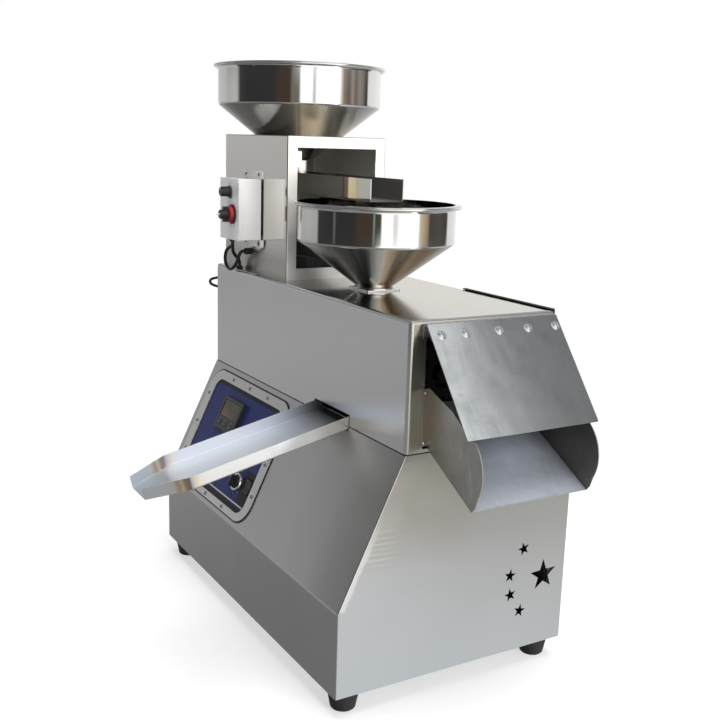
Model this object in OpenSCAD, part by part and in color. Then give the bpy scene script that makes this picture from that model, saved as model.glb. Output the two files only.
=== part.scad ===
// Screw oil press on rubber feet: sheet-steel cabinet with a sloped control panel,
// press hood with cake chute, hinged flap and oil spout, feed funnel, and a stand
// with a vibrating feed tray under a supply hopper.
// Millimetres, +Z up, operator side towards -Y, cake outlet towards +X.

/* [Cabinet] */
// Length of the cabinet over the end panels
body_l = 800; // [790:1:810]
// Depth of the lower cabinet
body_d = 486; // [480:1:492]
// Height of the upright strip below the sloped panel
strip_h = 153; // [148:1:158]
// Height gained by the sloped panel
slope_rise = 255; // [250:1:260]
// Depth taken by the sloped panel
slope_run = 120; // [116:1:124]
// Sheet thickness of the cabinet
sheet = 2; // [1.5:0.5:2]
// Height of the rubber feet
foot_h = 38; // [36:1:40]
// Inset of the feet from the cabinet edges
foot_in = 35; // [32:1:40]

/* [Hood] */
// Depth of the hood over the press
hood_d = 300; // [296:1:304]
// Height of the hood
hood_h = 224; // [222:1:228]
// Bend radius along the hood's top edges
hood_r = 7; // [5:1:9]

/* [Hoppers and stand] */
// Radius of the supply hopper's drum
top_r = 172; // [166:1:176]
// Radius of the feed funnel's drum
low_r = 150; // [142:1:152]
// Height of the feeder stand
tower_h = 285; // [283:1:288]
// Length of the feeder stand along the cabinet
tower_l = 309; // [306:1:312]
// Width of the feeder stand
tower_w = 225; // [222:1:228]
// Width of the vibrating tray
tray_w = 72; // [70:1:76]

/* [Outlets] */
// Width of the oil spout
spout_w = 130; // [124:1:132]
// Downward slope of the oil spout, degrees
spout_a = 13; // [12:0.2:14]
// Width of the cake chute over its cheeks
chute_w = 240; // [236:1:244]
// Width of the flap
flap_w = 269; // [262:1:272]
// Length of the flap
flap_l = 203; // [196:1:204]
// Angle the resting flap hangs out from upright, degrees
flap_a = 37.5; // [37.5:0.25:39]

/* [Drive] */
// Tooth module of the gear pair
gear_m = 2.5; // [2.5:0.5:2.5]
// Teeth of the large gear
gear_z = 56; // [56:1:56]
// Teeth of the pinion
pin_z = 16; // [16:1:16]
// Outer radius of the press worm
worm_r = 29.5; // [28:0.5:29.5]

/* [Hidden] */
$fn = 64;
s = sheet;
L = body_l;
z0 = 30;               // lower edge of the cabinet before the feet lift it
zf = z0 + strip_h;
zt = zf + slope_rise;
y0 = slope_run;
y1 = y0 + hood_d;
zh = zt + hood_h;
ztow = zh + tower_h;
phi = atan2(slope_rise, slope_run);
yc = 252;              // press, tray and hopper centre line
zc = 545;              // press axis height
xf = 470;              // feed funnel centre
xs = 140;              // supply hopper centre
cd = gear_m * (gear_z + pin_z) / 2;
yp = yc + cd;          // pinion axis
zm = 150;              // motor axis height
rp1 = 62.5;            // large pulley pitch radius
rp2 = 25;              // small pulley pitch radius
hx = L + 4.5;          // flap hinge axis
hz = zh - 7;
xsp = 549;             // spout centre
ox = 456.25;           // footprint centre
oy = 118.85;
feet_xy = [[foot_in, foot_in], [L - foot_in, foot_in], [foot_in, body_d - foot_in], [L - foot_in, body_d - foot_in]];
frame_screws = [for (x = [126, 213, 300], t = [15, 259]) [x, t], for (x = [37, 397], t = [72, 140, 208]) [x, t]];
ear_screws = [for (x = [120, 184], z = [723, 866]) [x, z]];
keys_x = [152, 180, 208];

// ---------- helpers ----------
module place() { translate([-ox, -oy, foot_h - z0]) children(); }
module bx(a, b) { translate(a) cube([b[0] - a[0], b[1] - a[1], b[2] - a[2]]); }
module yz(xa, xb) { translate([xa, 0, 0]) rotate([90, 0, 90]) linear_extrude(height = xb - xa) children(); }
module xz(ya, yb) { translate([0, yb, 0]) rotate([90, 0, 0]) linear_extrude(height = yb - ya) children(); }
module alongx(y, z) { translate([0, y, z]) rotate([0, 90, 0]) children(); }
module facing(x, y, z) { translate([x, y, z]) rotate([90, 0, 0]) children(); }
module on_slope() { translate([0, 0, zf]) rotate([phi, 0, 0]) children(); }
module tubex(xa, xb, ri, ro) { translate([0, 0, xa]) difference() { cylinder(r = ro, h = xb - xa); translate([0, 0, -1]) cylinder(r = ri, h = xb - xa + 2); } }
module rodx(xa, xb, r) { translate([0, 0, xa]) cylinder(r = r, h = xb - xa); }
module rsq(a, b, r) {
  translate([a[0] + r, a[1]]) square([b[0] - a[0] - 2 * r, b[1] - a[1]]);
  translate([a[0], a[1] + r]) square([b[0] - a[0], b[1] - a[1] - 2 * r]);
  for (x = [a[0] + r, b[0] - r], y = [a[1] + r, b[1] - r]) translate([x, y]) circle(r = r);
}
module star(r, a) { polygon([for (i = [0:9]) let (q = a + 90 + i * 36, k = i % 2 == 0 ? r : r * 0.4) [k * cos(q), k * sin(q)]]); }

// involute spur gear outline
function inv(a) = tan(a) * 180 / PI - a;
function half(r, rb, z, pa, bl) = 90 / z - bl + inv(pa) - inv(r <= rb ? 0 : acos(rb / r));
function gear_pts(m, z, pa, blmm) = let (rp = m * z / 2, rb = rp * cos(pa), ra = rp + 0.8 * m, rr = rp - 1.2 * m, bl = blmm / 2 / rp * 180 / PI,
  rs = [rr, max(rb, rr + 0.1), (rb + rp) / 2, rp, (rp + ra) / 2, ra])
  [for (i = [0:z - 1]) each concat(
    [for (k = [0:5]) let (q = i * 360 / z - half(rs[k], rb, z, pa, bl)) [rs[k] * cos(q), rs[k] * sin(q)]],
    [for (k = [5:-1:0]) let (q = i * 360 / z + half(rs[k], rb, z, pa, bl)) [rs[k] * cos(q), rs[k] * sin(q)]])];

// belt outline round two pulleys: centre a above centre b
module loop2(ra, rb, d) {
  be = asin((ra - rb) / d);
  polygon(concat([for (i = [0:18]) let (q = -be + i * (180 + 2 * be) / 18) [ra * cos(q), d + ra * sin(q)]],
    [for (i = [0:12]) let (q = 180 + be + i * (180 - 2 * be) / 12) [rb * cos(q), rb * sin(q)]]));
}

// lead swept along a smooth route
function unit(v) = v / norm(v);
function cr(p, i, u) = let (n = len(p), a = p[max(i - 1, 0)], b = p[i], c = p[min(i + 1, n - 1)], d = p[min(i + 2, n - 1)])
  0.5 * (2 * b + (c - a) * u + (2 * a - 5 * b + 4 * c - d) * u * u + (3 * b - a - 3 * c + d) * u * u * u);
function route(p, k) = concat([for (i = [0:len(p) - 2], j = [0:k - 1]) cr(p, i, j / k)], [p[len(p) - 1]]);
function tang(q) = let (n = len(q)) [for (i = [0:n - 1]) unit(q[min(i + 1, n - 1)] - q[max(i - 1, 0)])];
function side(v) = unit(cross(v, abs(v[0]) < 0.8 ? [1, 0, 0] : [0, 1, 0]));
function frames(t) = [for (i = 0, a = side(t[0]); i < len(t); i = i + 1, a = i < len(t) ? unit(a - (a * t[i]) * t[i]) : a) a];
module lead(p, r, k) {
  q = route(p, k); t = tang(q); a = frames(t); n = len(q); m = 8;
  polyhedron(points = [for (i = [0:n - 1], j = [0:m - 1]) let (b = cross(t[i], a[i])) q[i] + r * (cos(j * 360 / m) * a[i] + sin(j * 360 / m) * b)],
    faces = concat([[for (j = [m - 1:-1:0]) j]], [[for (j = [0:m - 1]) (n - 1) * m + j]],
      [for (i = [0:n - 2], j = [0:m - 1]) each [[i * m + j, i * m + (j + 1) % m, (i + 1) * m + (j + 1) % m], [i * m + j, (i + 1) * m + (j + 1) % m, (i + 1) * m + j]]]));
}
coil_route = [[130, 131, 702], [130, 125, 702], [129.5, 119.5, 696], [125, 116, 681], [114, 113, 667], [100, 111, 661], [85, 110, 664], [75, 110, 673], [73, 110, 686], [80, 110, 699], [93, 111, 707], [103, 112, 711], [108, 112, 717], [108, 112, 724]];
supply_route = [[128, 104, 724], [128, 104, 716], [126, 105, 708], [121, 109, 699], [113, 118, 690], [107, 127, 682], [105, 130, 675], [105, 130, 668]];
bond_route = [[-8, 140, 604], [-16, 139, 604], [-27, 131, 605], [-35, 122, 609], [-37, 119, 615], [-34, 122, 621], [-25, 132, 625], [-15, 144, 630], [-10, 157, 639], [-10, 170, 651], [-12, 184, 665], [-17, 199, 678], [-23, 214, 688], [-25, 227, 695], [-21, 236, 699], [-14, 240, 700], [-6, 240, 700]];

// ---------- lower cabinet ----------
module base_plate() { color("silver") place() bx([s, s, z0], [L - s, body_d - s, z0 + s]); }

module front_panel() {
  color("silver") place() difference() {
    yz(s, L - s) polygon([[0, z0], [0, zf], [y0, zt], [y0 + s / sin(phi), zt],
      [s, zf - s * cos(phi) + s * (1 - sin(phi)) * tan(phi)], [s, z0]]);
    on_slope() translate([47.5, 21.5, -20]) cube([341.5, 232, 40]);
    on_slope() for (p = frame_screws) translate([p[0], p[1], -10]) cylinder(r = 2.1, h = 20);
    bx([xsp - spout_w / 2 - 2, y0 - 40, zt - 6.5], [xsp + spout_w / 2 + 2, y0 + 40, zt + 10]);
  }
}

module end_outline() { polygon([[0, z0], [0, zf], [y0, zt], [body_d, zt], [body_d, z0]]); }

module left_end_panel() {
  color("silver") place() difference() {
    yz(0, s) end_outline();
    for (i = [0:7]) bx([-5, 250, 90 + i * 16], [10, 430, 96 + i * 16]);
  }
}

module right_end_panel() {
  color("silver") place() difference() {
    yz(L - s, L) end_outline();
    yz(L - 20, L + 20) {
      translate([436, 166]) star(31, 2);
      translate([386, 226]) star(13.5, 14);
      translate([358, 179]) star(13.5, -8);
      translate([361, 141]) star(13.5, 10);
      translate([385, 105]) star(13.5, -12);
    }
  }
}

module back_panel() {
  color("silver") place() difference() {
    bx([s, body_d - s, z0], [L - s, body_d, zt]);
    for (i = [0:7]) bx([250, body_d - 20, 90 + i * 16], [430, body_d + 20, 96 + i * 16]);
    bx([89.5, body_d - 20, 89.5], [140.5, body_d + 20, 120.5]);
  }
}

module mains_inlet() {
  color("black") place() difference() {
    union() { bx([90, body_d - 32, 90], [140, body_d, 120]); bx([83, body_d, 84], [147, body_d + 3, 126]); }
    bx([96, body_d - 20, 95], [134, body_d + 5, 115]);
    for (x = [105, 115, 125]) bx([x - 1, body_d - 40, 100], [x + 1, body_d, 108]);
  }
}

module deck_plate() {
  color("gray") place() difference() {
    bx([s, y0 + 4, zt - 6], [L - s, body_d - s, zt]);
    bx([xsp - spout_w / 2 - 2, y0, zt - 20], [xsp + spout_w / 2 + 2, y0 + 40, zt + 5]);
    bx([90, yp - 90, zt - 20], [140, yp + 60, zt + 5]);
  }
}

module frame_posts() {
  color("dimgray") place() for (x = [s + 3, L - s - 33], y = [y0 + 8, body_d - s - 33]) difference() {
    bx([x, y, z0 + s], [x + 30, y + 30, zt - 6]);
    bx([x + (x < L / 2 ? 3 : -3), y + 3, z0], [x + (x < L / 2 ? 33 : 27), y + 33, zt]);
  }
}

module feet() { color("black") place() for (p = feet_xy) translate([p[0], p[1], z0 - foot_h]) cylinder(r1 = 22, r2 = 29, h = foot_h); }

// ---------- hood ----------
module hood_shell() {
  color("silver") place() difference() {
    union() {
      yz(0, L - s) difference() {
        union() { rsq([y0, zh - 60], [y1, zh], hood_r); translate([y0, zt]) square([hood_d, hood_h - 30]); }
        rsq([y0 + s, zh - 60 - s], [y1 - s, zh - s], hood_r - s);
        translate([y0 + s, zt - 1]) square([hood_d - 2 * s, hood_h - 30]);
      }
      bx([0, y0 + s, zt], [s, y1 - s, zh - hood_r]);
      bx([0, y0 + hood_r, zh - hood_r - 1], [s, y1 - hood_r, zh - s]);
    }
    bx([xsp - spout_w / 2 - 2, y0 - 10, zt - 5], [xsp + spout_w / 2 + 2, y0 + 10, zt + 23.5]);
    translate([xf, yc, zh - 20]) cylinder(r = 37.5, h = 40);
    translate([105, 130, zh - 20]) cylinder(r = 4.5, h = 40);
    alongx(140, 604) rodx(-10, 10, 4.5);
  }
}

module hood_right_end() {
  color("silver") place() yz(L - s, L) difference() {
    union() { rsq([y0, zh - 60], [y1, zh], hood_r); translate([y0, zt]) square([hood_d, hood_h - 30]); }
    translate([y0 + 32, zt + 8]) square([hood_d - 40, hood_h - 34]);
  }
}

module rear_edge_trim() { color("black") place() bx([508, y1, zh - 14], [L - 6, y1 + 5, zh + 3.5]); }

// ---------- cake outlet ----------
function chute_z(x) = zt + 11 - (x - L) * 0.534;
ch0 = yc + 28 - chute_w / 2;
ch1 = yc + 28 + chute_w / 2;
module cheek() {
  difference() {
    union() {
      polygon([[L - 85, chute_z(L - 85)], [L - 85, zt + 118], [L, zt + 113], [L + 34, zt + 100], [L + 68, zt + 89], [L + 105, zt + 66], [L + 85, zt + 2],
        [L + 144, zt - 32], [L + 139, zt - 50], [L + 131, chute_z(L + 131)], [L, chute_z(L)]]);
      translate([L + 85, zt + 2]) circle(r = 69.5);
    }
    polygon([[L - 120, chute_z(L - 120)], [L + 131, chute_z(L + 131)], [L + 139, zt - 50], [L + 144, zt - 32], [L + 240, zt - 40], [L + 240, zt - 300], [L - 120, zt - 300]]);
  }
}
module cake_chute() {
  color("lightsteelblue") place() {
    xz(ch0, ch0 + s) cheek();
    xz(ch1 - s, ch1) cheek();
    bx([L + 0.2, ch0 - 12, zt + 13], [L + 1.7, ch0 + 0.5, zt + 111]);
    bx([L + 0.2, ch1 - 0.5, zt + 13], [L + 1.7, ch1 + 16, zt + 111]);
    xz(ch0 + s, ch1 - s) polygon([[L - 85, chute_z(L - 85)], [L + 131, chute_z(L + 131)], [L + 131, chute_z(L + 131) + s * 1.134], [L - 85, chute_z(L - 85) + s * 1.134]]);
  }
}

// flap hinge
fl0 = yc + 28 - flap_w / 2;
kn = 9;
module knuckles(odd) {
  w = flap_w / kn;
  for (i = [0:kn - 1]) if (i % 2 == odd) translate([0, i * w + 0.3, 0]) rotate([-90, 0, 0]) cylinder(r = 2.9, h = w - 0.6);
}
module hinge_bore() { translate([0, -5, 0]) rotate([-90, 0, 0]) cylinder(r = 1.55, h = flap_w + 10); }
module hinge_leaf() {
  color("silver") place() difference() {
    union() {
      translate([hx, fl0, hz]) knuckles(0);
      w = flap_w / kn;
      for (i = [0:kn - 1]) if (i % 2 == 0) bx([L, fl0 + i * w + 0.3, hz - 8], [hx - 1, fl0 + (i + 1) * w - 0.3, hz]);
      bx([L, fl0, hz - 22], [L + 1.2, fl0 + flap_w, hz - 4]);
    }
    translate([hx, fl0, hz]) hinge_bore();
  }
}
module hinge_pin() { color("silver") place() translate([hx, fl0 - 1, hz]) rotate([-90, 0, 0]) cylinder(r = 1.5, h = flap_w + 2); }
// flap pieces are drawn hanging straight down from the hinge, then swung out
module swung() { translate([hx, fl0, hz]) rotate([0, -flap_a, 0]) children(); }
module flap_plate() { color("lightsteelblue") place() swung() bx([3.4, 0, -flap_l], [4.9, flap_w, -1]); }
module flap_leaf() {
  w = flap_w / kn;
  color("silver") place() swung() difference() {
    union() {
      knuckles(1);
      for (i = [0:kn - 1]) if (i % 2 == 1) bx([1.4, i * w + 0.3, -8], [3.4, (i + 1) * w - 0.3, -0.6]);
      bx([2.2, 0, -30], [3.4, flap_w, -5]);
    }
    hinge_bore();
  }
}
module flap_rivets() {
  color("silver") place() swung() for (y = [20, 68, 137, 198, 258]) translate([4.9, y, -22]) rotate([0, 90, 0])
    intersection() { translate([0, 0, -12.6]) sphere(r = 15.2); cylinder(r = 9, h = 4); }
}

// ---------- oil outlet ----------
module on_spout() { translate([xsp, y0, zt - 4.4]) rotate([spout_a, 0, 0]) children(); }
module oil_spout() {
  w = spout_w / 2; t = 1.5; e = -304; n = -376; v = 34;
  color("lightsteelblue") place() on_spout() {
    linear_extrude(height = t) polygon([[-w, 32], [w, 32], [w, e], [v, n], [-v, n], [-w, e]]);
    bx([-w, e, t], [-w + t, 32, 24]);
    bx([w - t, e, t], [w, 32, 24]);
    for (k = [0, 1]) mirror([k, 0, 0]) intersection() {
      translate([0, 0, t]) linear_extrude(height = 30) polygon([[w, e], [v, n], [v - t, n], [w - t, e]]);
      yz(0, w + 5) polygon([[e, 0], [e, 24], [n, 22], [n, 0]]);
    }
  }
}
module oil_tray() {
  a = xsp - spout_w / 2 + 4; b = xsp + spout_w / 2 - 4;
  color("silver") place() {
    bx([a, y0 + 12, zt + 8], [b, 160, zt + 9.5]);
    bx([a, 160, zt + 8], [700, 350, zt + 9.5]);
    bx([a, y0 + 12, zt + 9.5], [a + 1.5, 160, zt + 24]);
    bx([b - 1.5, y0 + 12, zt + 9.5], [b, 161.5, zt + 24]);
    bx([a, 160, zt + 9.5], [a + 1.5, 350, zt + 30]);
    bx([698.5, 160, zt + 9.5], [700, 350, zt + 30]);
    bx([a + 1.5, 348.5, zt + 9.5], [698.5, 350, zt + 30]);
    bx([b, 160, zt + 9.5], [698.5, 161.5, zt + 30]);
  }
}

// ---------- feed funnel and press ----------
lz1 = zh + 7; lz2 = lz1 + 85; lz3 = lz2 + 73;
module feed_hopper() {
  color("gainsboro") place() translate([xf, yc, 0]) rotate_extrude() {
    polygon([[30, zh - 22], [31.5, zh - 22], [31.5, zh + 3], [40, zh + 3], [40, zh + 5], [35, lz1], [low_r, lz2], [low_r, lz3 - 2], [low_r + 7.5, lz3 - 2], [low_r + 7.5, lz3],
      [low_r - 1.5, lz3], [low_r - 1.5, lz2 + 0.7], [33, lz1], [30, zh + 3]]);
    translate([low_r + 8, lz3 - 3.5]) circle(r = 3.5);
  }
}
module feed_throat() {
  color("gray") place() difference() {
    union() { translate([xf, yc, zc]) cylinder(r = 37, h = zh - zc + 1); bx([xf - 37, yc - 37, zh], [xf + 37, yc + 37, zh + 3]); }
    translate([xf, yc, zc - 5]) cylinder(r = 33, h = 400);
    alongx(yc, zc) rodx(xf - 60, xf + 60, 52.05);
  }
}
module press_barrel() {
  color("dimgray") place() difference() {
    alongx(yc, zc) tubex(425, 690, 31, 52);
    translate([xf, yc, zc]) cylinder(r = 27, h = 100);
    alongx(yc, zc) for (a = [-75:25:75]) rotate([0, 0, a]) bx([25, -1, 545], [60, 1, 645]);
  }
}
module heater_bands() { color("goldenrod") place() alongx(yc, zc) for (x = [512, 655]) difference() { tubex(x, x + 24, 52.1, 57); rotate([0, 0, 90]) bx([40, -2, x - 1], [70, 2, x + 30]); } }
module press_head() { color("dimgray") place() alongx(yc, zc) difference() { rodx(690.1, 712, 62); rodx(680, 720, 25); for (a = [0:60:300]) rotate([0, 0, a]) translate([44, 0, 0]) rodx(704, 720, 5); } }
module press_screw() {
  color("silver") place() alongx(yc, zc) {
    rodx(200, 432, 15);
    translate([0, 0, 432]) linear_extrude(height = 248, twist = -1800, slices = 70, $fn = 16)
      polygon([for (i = [0:17]) let (r = i >= 1 && i <= 4 ? worm_r : 18) [r * cos(i * 20), r * sin(i * 20)]]);
    translate([0, 0, 680]) cylinder(r1 = 18, r2 = 22, h = 16);
    rodx(696, 716, 15);
  }
}
module bearing_housing() {
  color("dimgray") place() difference() {
    union() { alongx(yc, zc) rodx(345, 424.5, 58); bx([345, yc - 58, zt], [424.5, yc + 58, zc]); bx([345, yc - 85, zt], [424.5, yc + 85, zt + 14]); }
    alongx(yc, zc) { rodx(340, 430, 28); rodx(344, 368, 40); rodx(401, 425, 40); }
  }
}
module bearings() { color("silver") place() alongx(yc, zc) for (x = [346, 402]) tubex(x, x + 21, 15.05, 39.95); }

// ---------- drive ----------
module gearbox_case() {
  color("dimgray") place() difference() {
    union() { bx([190, yc - 86, zt + 12], [330, yp + 44, zh - 22]); for (y = [yc - 86, yp + 14]) bx([190, y, zt], [330, y + 30, zt + 12]); }
    bx([180, yc - 78, zt + 22], [320, yp + 36, zh - 30]);
    alongx(yc, zc) rodx(310, 340, 15.05);
    alongx(yp, zc) rodx(310, 340, 10.05);
  }
}
module gearbox_cover() {
  color("gray") place() difference() {
    bx([182, yc - 86, zt + 12], [190, yp + 44, zh - 22]);
    alongx(yp, zc) rodx(170, 200, 10.05);
  }
}
module main_gear() { color("gray") place() alongx(yc, zc) difference() { translate([0, 0, 240]) linear_extrude(height = 30) polygon(gear_pts(gear_m, gear_z, 25, 0.3)); rodx(230, 280, 15); } }
module pinion_shaft() {
  color("gray") place() alongx(yp, zc) difference() {
    union() {
      rodx(96, 328, 10);
      translate([0, 0, 238]) linear_extrude(height = 34) rotate(180 / pin_z) polygon(gear_pts(gear_m, pin_z, 25, 0.3));
      rodx(102, 130, rp1 + 5);
    }
    translate([0, 0, 116]) rotate_extrude() polygon([[rp1 - 7, -4.5], [rp1 + 8, -7.5], [rp1 + 8, 7.5], [rp1 - 7, 4.5]]);
    for (a = [0:60:300]) rotate([0, 0, a]) translate([40, 0, 100]) cylinder(r = 14, h = 40);
  }
}
module v_belt() { color("black") place() yz(112, 120) translate([yp, zm]) difference() { loop2(rp1 + 4, rp2 + 4, zc - zm); loop2(rp1 - 6, rp2 - 6, zc - zm); } }
module motor() {
  color("steelblue") place() difference() {
    union() {
      alongx(yp, zm) rodx(160, 400, 72);
      alongx(yp, zm) rodx(400, 450, 66);
      for (i = [0:11]) alongx(yp, zm) rotate([0, 0, i * 30]) bx([70, -2, 185], [79, 2, 385]);
      bx([200, yp - 70, z0 + s], [360, yp + 70, z0 + s + 12]);
      bx([210, yp - 50, z0 + s + 12], [350, yp + 50, zm - 40]);
      bx([240, yp - 40, zm + 60], [320, yp + 40, zm + 100]);
    }
    alongx(yp, zm) rodx(150, 300, 9.55);
    alongx(yp, zm) rodx(176, 384, 58);
  }
}
module motor_shaft() {
  color("silver") place() alongx(yp, zm) difference() {
    union() { rodx(96, 295, 9.5); rodx(102, 130, rp2 + 5); }
    translate([0, 0, 116]) rotate_extrude() polygon([[rp2 - 7, -4.5], [rp2 + 8, -7.5], [rp2 + 8, 7.5], [rp2 - 7, 4.5]]);
  }
}

// ---------- control panel ----------
module panel_frame() {
  color("silver") place() on_slope() difference() {
    linear_extrude(height = 2.5) difference() { rsq([22, 4], [410, 269], 30); rsq([52, 26], [384, 249], 8); }
    for (p = frame_screws) translate([p[0], p[1], -5]) cylinder(r = 2.1, h = 20);
  }
}
module panel_face() {
  color("navy") place() on_slope() difference() {
    translate([48, 22, -1.5]) cube([340.5, 231, 1.5]);
    translate([135.5, 155.5, -5]) cube([89, 65, 10]);
    translate([318, 79, -5]) cylinder(r = 5.05, h = 10);
    translate([354, 67, -5]) cube([26, 32, 10]);
  }
}
module pan_screw() { translate([0, 0, -6]) cylinder(r = 2, h = 6); intersection() { translate([0, 0, -3]) sphere(r = 5.5); cylinder(r = 4, h = 3); } }
module screws() {
  color("silver") place() {
    on_slope() for (p = frame_screws) translate([p[0], p[1], 2.5]) pan_screw();
    for (p = ear_screws) facing(p[0], 139, p[1]) pan_screw();
  }
}
module controller() {
  color("black") place() on_slope() difference() {
    union() { translate([132, 152, 0]) cube([96, 72, 9]); translate([136, 156, -60]) cube([88, 64, 61]); }
    translate([140, 180, 7.5]) cube([80, 36, 5]);
    for (x = keys_x) translate([x - 7, 161, 5.5]) cube([14, 8.8, 10]);
  }
}
module key(i) { color("gray") place() on_slope() translate([keys_x[i] - 6.6, 161.4, 7]) cube([13.2, 8, 3.2]); }
module key_set() { key(0); }
module key_down() { key(1); }
module key_up() { key(2); }
module selector_bezel() { color("silver") place() on_slope() translate([318, 79, 0]) difference() { cylinder(r1 = 19.5, r2 = 17.5, h = 6); translate([0, 0, -1]) cylinder(r = 13.4, h = 10); } }
module selector_knob() {
  color("black") place() on_slope() translate([318, 79, 0]) {
    translate([0, 0, -14]) cylinder(r = 5, h = 14.4);
    translate([0, 0, 0.4]) cylinder(r = 13, h = 8);
    translate([-4, -12.2, 8.4]) cube([8, 24.4, 12]);
  }
}
module rocker() {
  color("black") place() on_slope() translate([354.5, 83, 0]) rotate([90, 0, 90]) linear_extrude(height = 25)
    polygon([[-14.5, -6], [14.5, -6], [14.5, 5], [0, 2.6], [-14.5, 5]]);
  color("black") place() on_slope() translate([352.5, 83, -3]) rotate([0, 90, 0]) cylinder(r = 1.2, h = 29);
}

// ---------- feeder stand ----------
tx0 = 2; tx1 = tx0 + tower_l; ty0 = yc + 1.5 - tower_w / 2; ty1 = ty0 + tower_w;
module feeder_tower() {
  color("gainsboro") place() difference() {
    union() {
      bx([tx0, ty0, zh], [tx1, ty0 + s, ztow]);
      bx([tx0, ty1 - s, zh], [tx1, ty1, ztow]);
      bx([tx0, ty0 + s, zh], [tx0 + s, ty1 - s, ztow]);
      bx([tx0 + s, ty0 + s, ztow - s], [tx1 - s, ty1 - s, ztow]);
      yz(tx1 - s, tx1) difference() {
        translate([ty0 + s, zh]) square([tower_w - 2 * s, tower_h]);
        translate([ty0 + 22, zh + 23]) square([tower_w - 45, tower_h - 46]);
      }
      bx([tx1 - s, ty0 + 22, ztow - 60], [tx1, ty0 + 31, ztow - 30]);
    }
    translate([xs, yc, ztow - 20]) cylinder(r = top_r - (uz1 - ztow) * uk + 0.46, h = 40);
    for (p = ear_screws) facing(p[0], ty0 + 20, p[1]) cylinder(r = 2.1, h = 40);
    facing(130, ty0 + 20, 702) cylinder(r = 4.5, h = 40);
    alongx(240, 700) rodx(-10, 10, 4.5);
  }
}
module feeder_tray() {
  a = yc - tray_w / 2; b = yc + tray_w / 2;
  color("gainsboro") place() {
    bx([45, a, 829], [505, b, 831]);
    bx([45, a, 831], [505, a + 1.5, 872]);
    bx([45, b - 1.5, 831], [505, b, 872]);
    bx([45, a + 1.5, 831], [46.5, b - 1.5, 872]);
    bx([125, yc - 26, 805], [262, yc - 22, 829]);
    bx([125, yc + 22, 805], [262, yc + 26, 829]);
    bx([190, yc - 20, 755], [196, yc + 20, 829]);
  }
}
module leaf_springs() {
  color("silver") place() for (x = [160, 272]) xz(yc - 26, yc + 26) polygon([[x, 725.1], [x - 4, 725.1], [x - 33, 804.7], [x - 29, 804.7]]);
}
module feeder_base() { color("black") place() { bx([115, yc - 54, zh], [290, yc + 54, zh + 40]); bx([135, yc - 30, zh + 40], [280, yc + 30, zh + 63]); } }
module magnet() { color("dimgray") place() { bx([199, yc - 20, zh + 63], [236, yc + 20, zh + 72]); bx([199, yc - 16, zh + 72], [236, yc + 16, zh + 118]); bx([205, yc - 24, zh + 78], [230, yc - 16, zh + 112]); bx([205, yc + 16, zh + 78], [230, yc + 24, zh + 112]); } }

uz1 = ztow + 61; uz2 = uz1 + 81; uk = 1.283;
module upper_hopper() {
  color("gainsboro") place() translate([xs, yc, 0]) rotate_extrude() {
    polygon([[30, 866], [31.5, 866], [31.5, uz1 - (top_r - 31.5) / uk], [top_r, uz1], [top_r, uz2 - 2], [top_r + 6, uz2 - 2], [top_r + 6, uz2],
      [top_r - 1.5, uz2], [top_r - 1.5, uz1 + 0.7], [30, uz1 + 0.7 - (top_r - 31.5) / uk]]);
    translate([top_r + 6.5, uz2 - 3.5]) circle(r = 3.5);
  }
}

// ---------- feeder control box ----------
module box_case() {
  color("gainsboro") place() difference() {
    union() { bx([99, 90, 731], [196, 134, 857]); bx([106, 134, 738], [189, 139, 850]); bx([104, 139, 715], [200, 141, 874]); }
    bx([101, 80, 733], [194, 132, 855]);
    for (p = ear_screws) facing(p[0], 160, p[1]) cylinder(r = 2.1, h = 60);
    for (p = [[108, 112], [128, 104]]) translate([p[0], p[1], 720]) cylinder(r = 4.5, h = 40);
  }
}
module box_cover() {
  color("gainsboro") place() difference() {
    bx([99, 88, 731], [196, 90, 857]);
    facing(153, 100, 830) cylinder(r = 3.05, h = 40);
    facing(163, 100, 784) cylinder(r = 4.05, h = 40);
  }
}
module feeder_knob() {
  color("black") place() facing(153, 88, 830) {
    translate([0, 0, -8]) cylinder(r = 3, h = 10);
    translate([0, 0, 2]) cylinder(r1 = 11, r2 = 9.5, h = 21);
    translate([-1, 0, 2]) cube([2, 11.6, 20]);
  }
}
module switch_plate() {
  color("firebrick") place() facing(163, 88, 784) difference() {
    union() { cylinder(r = 20.5, h = 4); translate([0, 0, 4]) cylinder(r1 = 17, r2 = 15, h = 7); }
    translate([0, 0, -1]) cylinder(r = 4.05, h = 20);
  }
}
module switch_handle() {
  color("black") place() facing(163, 88, 784) {
    translate([0, 0, -8]) cylinder(r = 4, h = 19.5);
    translate([0, 0, 11.5]) cylinder(r = 9.5, h = 17);
    translate([-3, -16, 11.5]) cube([6, 32, 10]);
  }
}

// ---------- leads ----------
module bush(h) { difference() { union() { cylinder(r = 7, h = h - 0.2); translate([0, 0, -4]) cylinder(r = 4.4, h = 4.01); } translate([0, 0, -6]) cylinder(r = 2.2, h = h + 5.3); } }
module grommets() {
  color("black") place() {
    facing(130, ty0, 702) bush(ty0 - 131);
    translate([108, 112, 731]) mirror([0, 0, 1]) bush(7);
    translate([128, 104, 731]) mirror([0, 0, 1]) bush(7);
    translate([105, 130, zh]) bush(6);
    translate([0, 140, 604]) rotate([0, -90, 0]) bush(8);
    translate([tx0, 240, 700]) rotate([0, -90, 0]) bush(8);
  }
}
module coil_lead() { color("black") place() lead(coil_route, 3.5, 3); }
module supply_lead() { color("black") place() lead(supply_route, 3.5, 3); }
module bond_lead() { color("black") place() lead(bond_route, 3, 3); }

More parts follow.
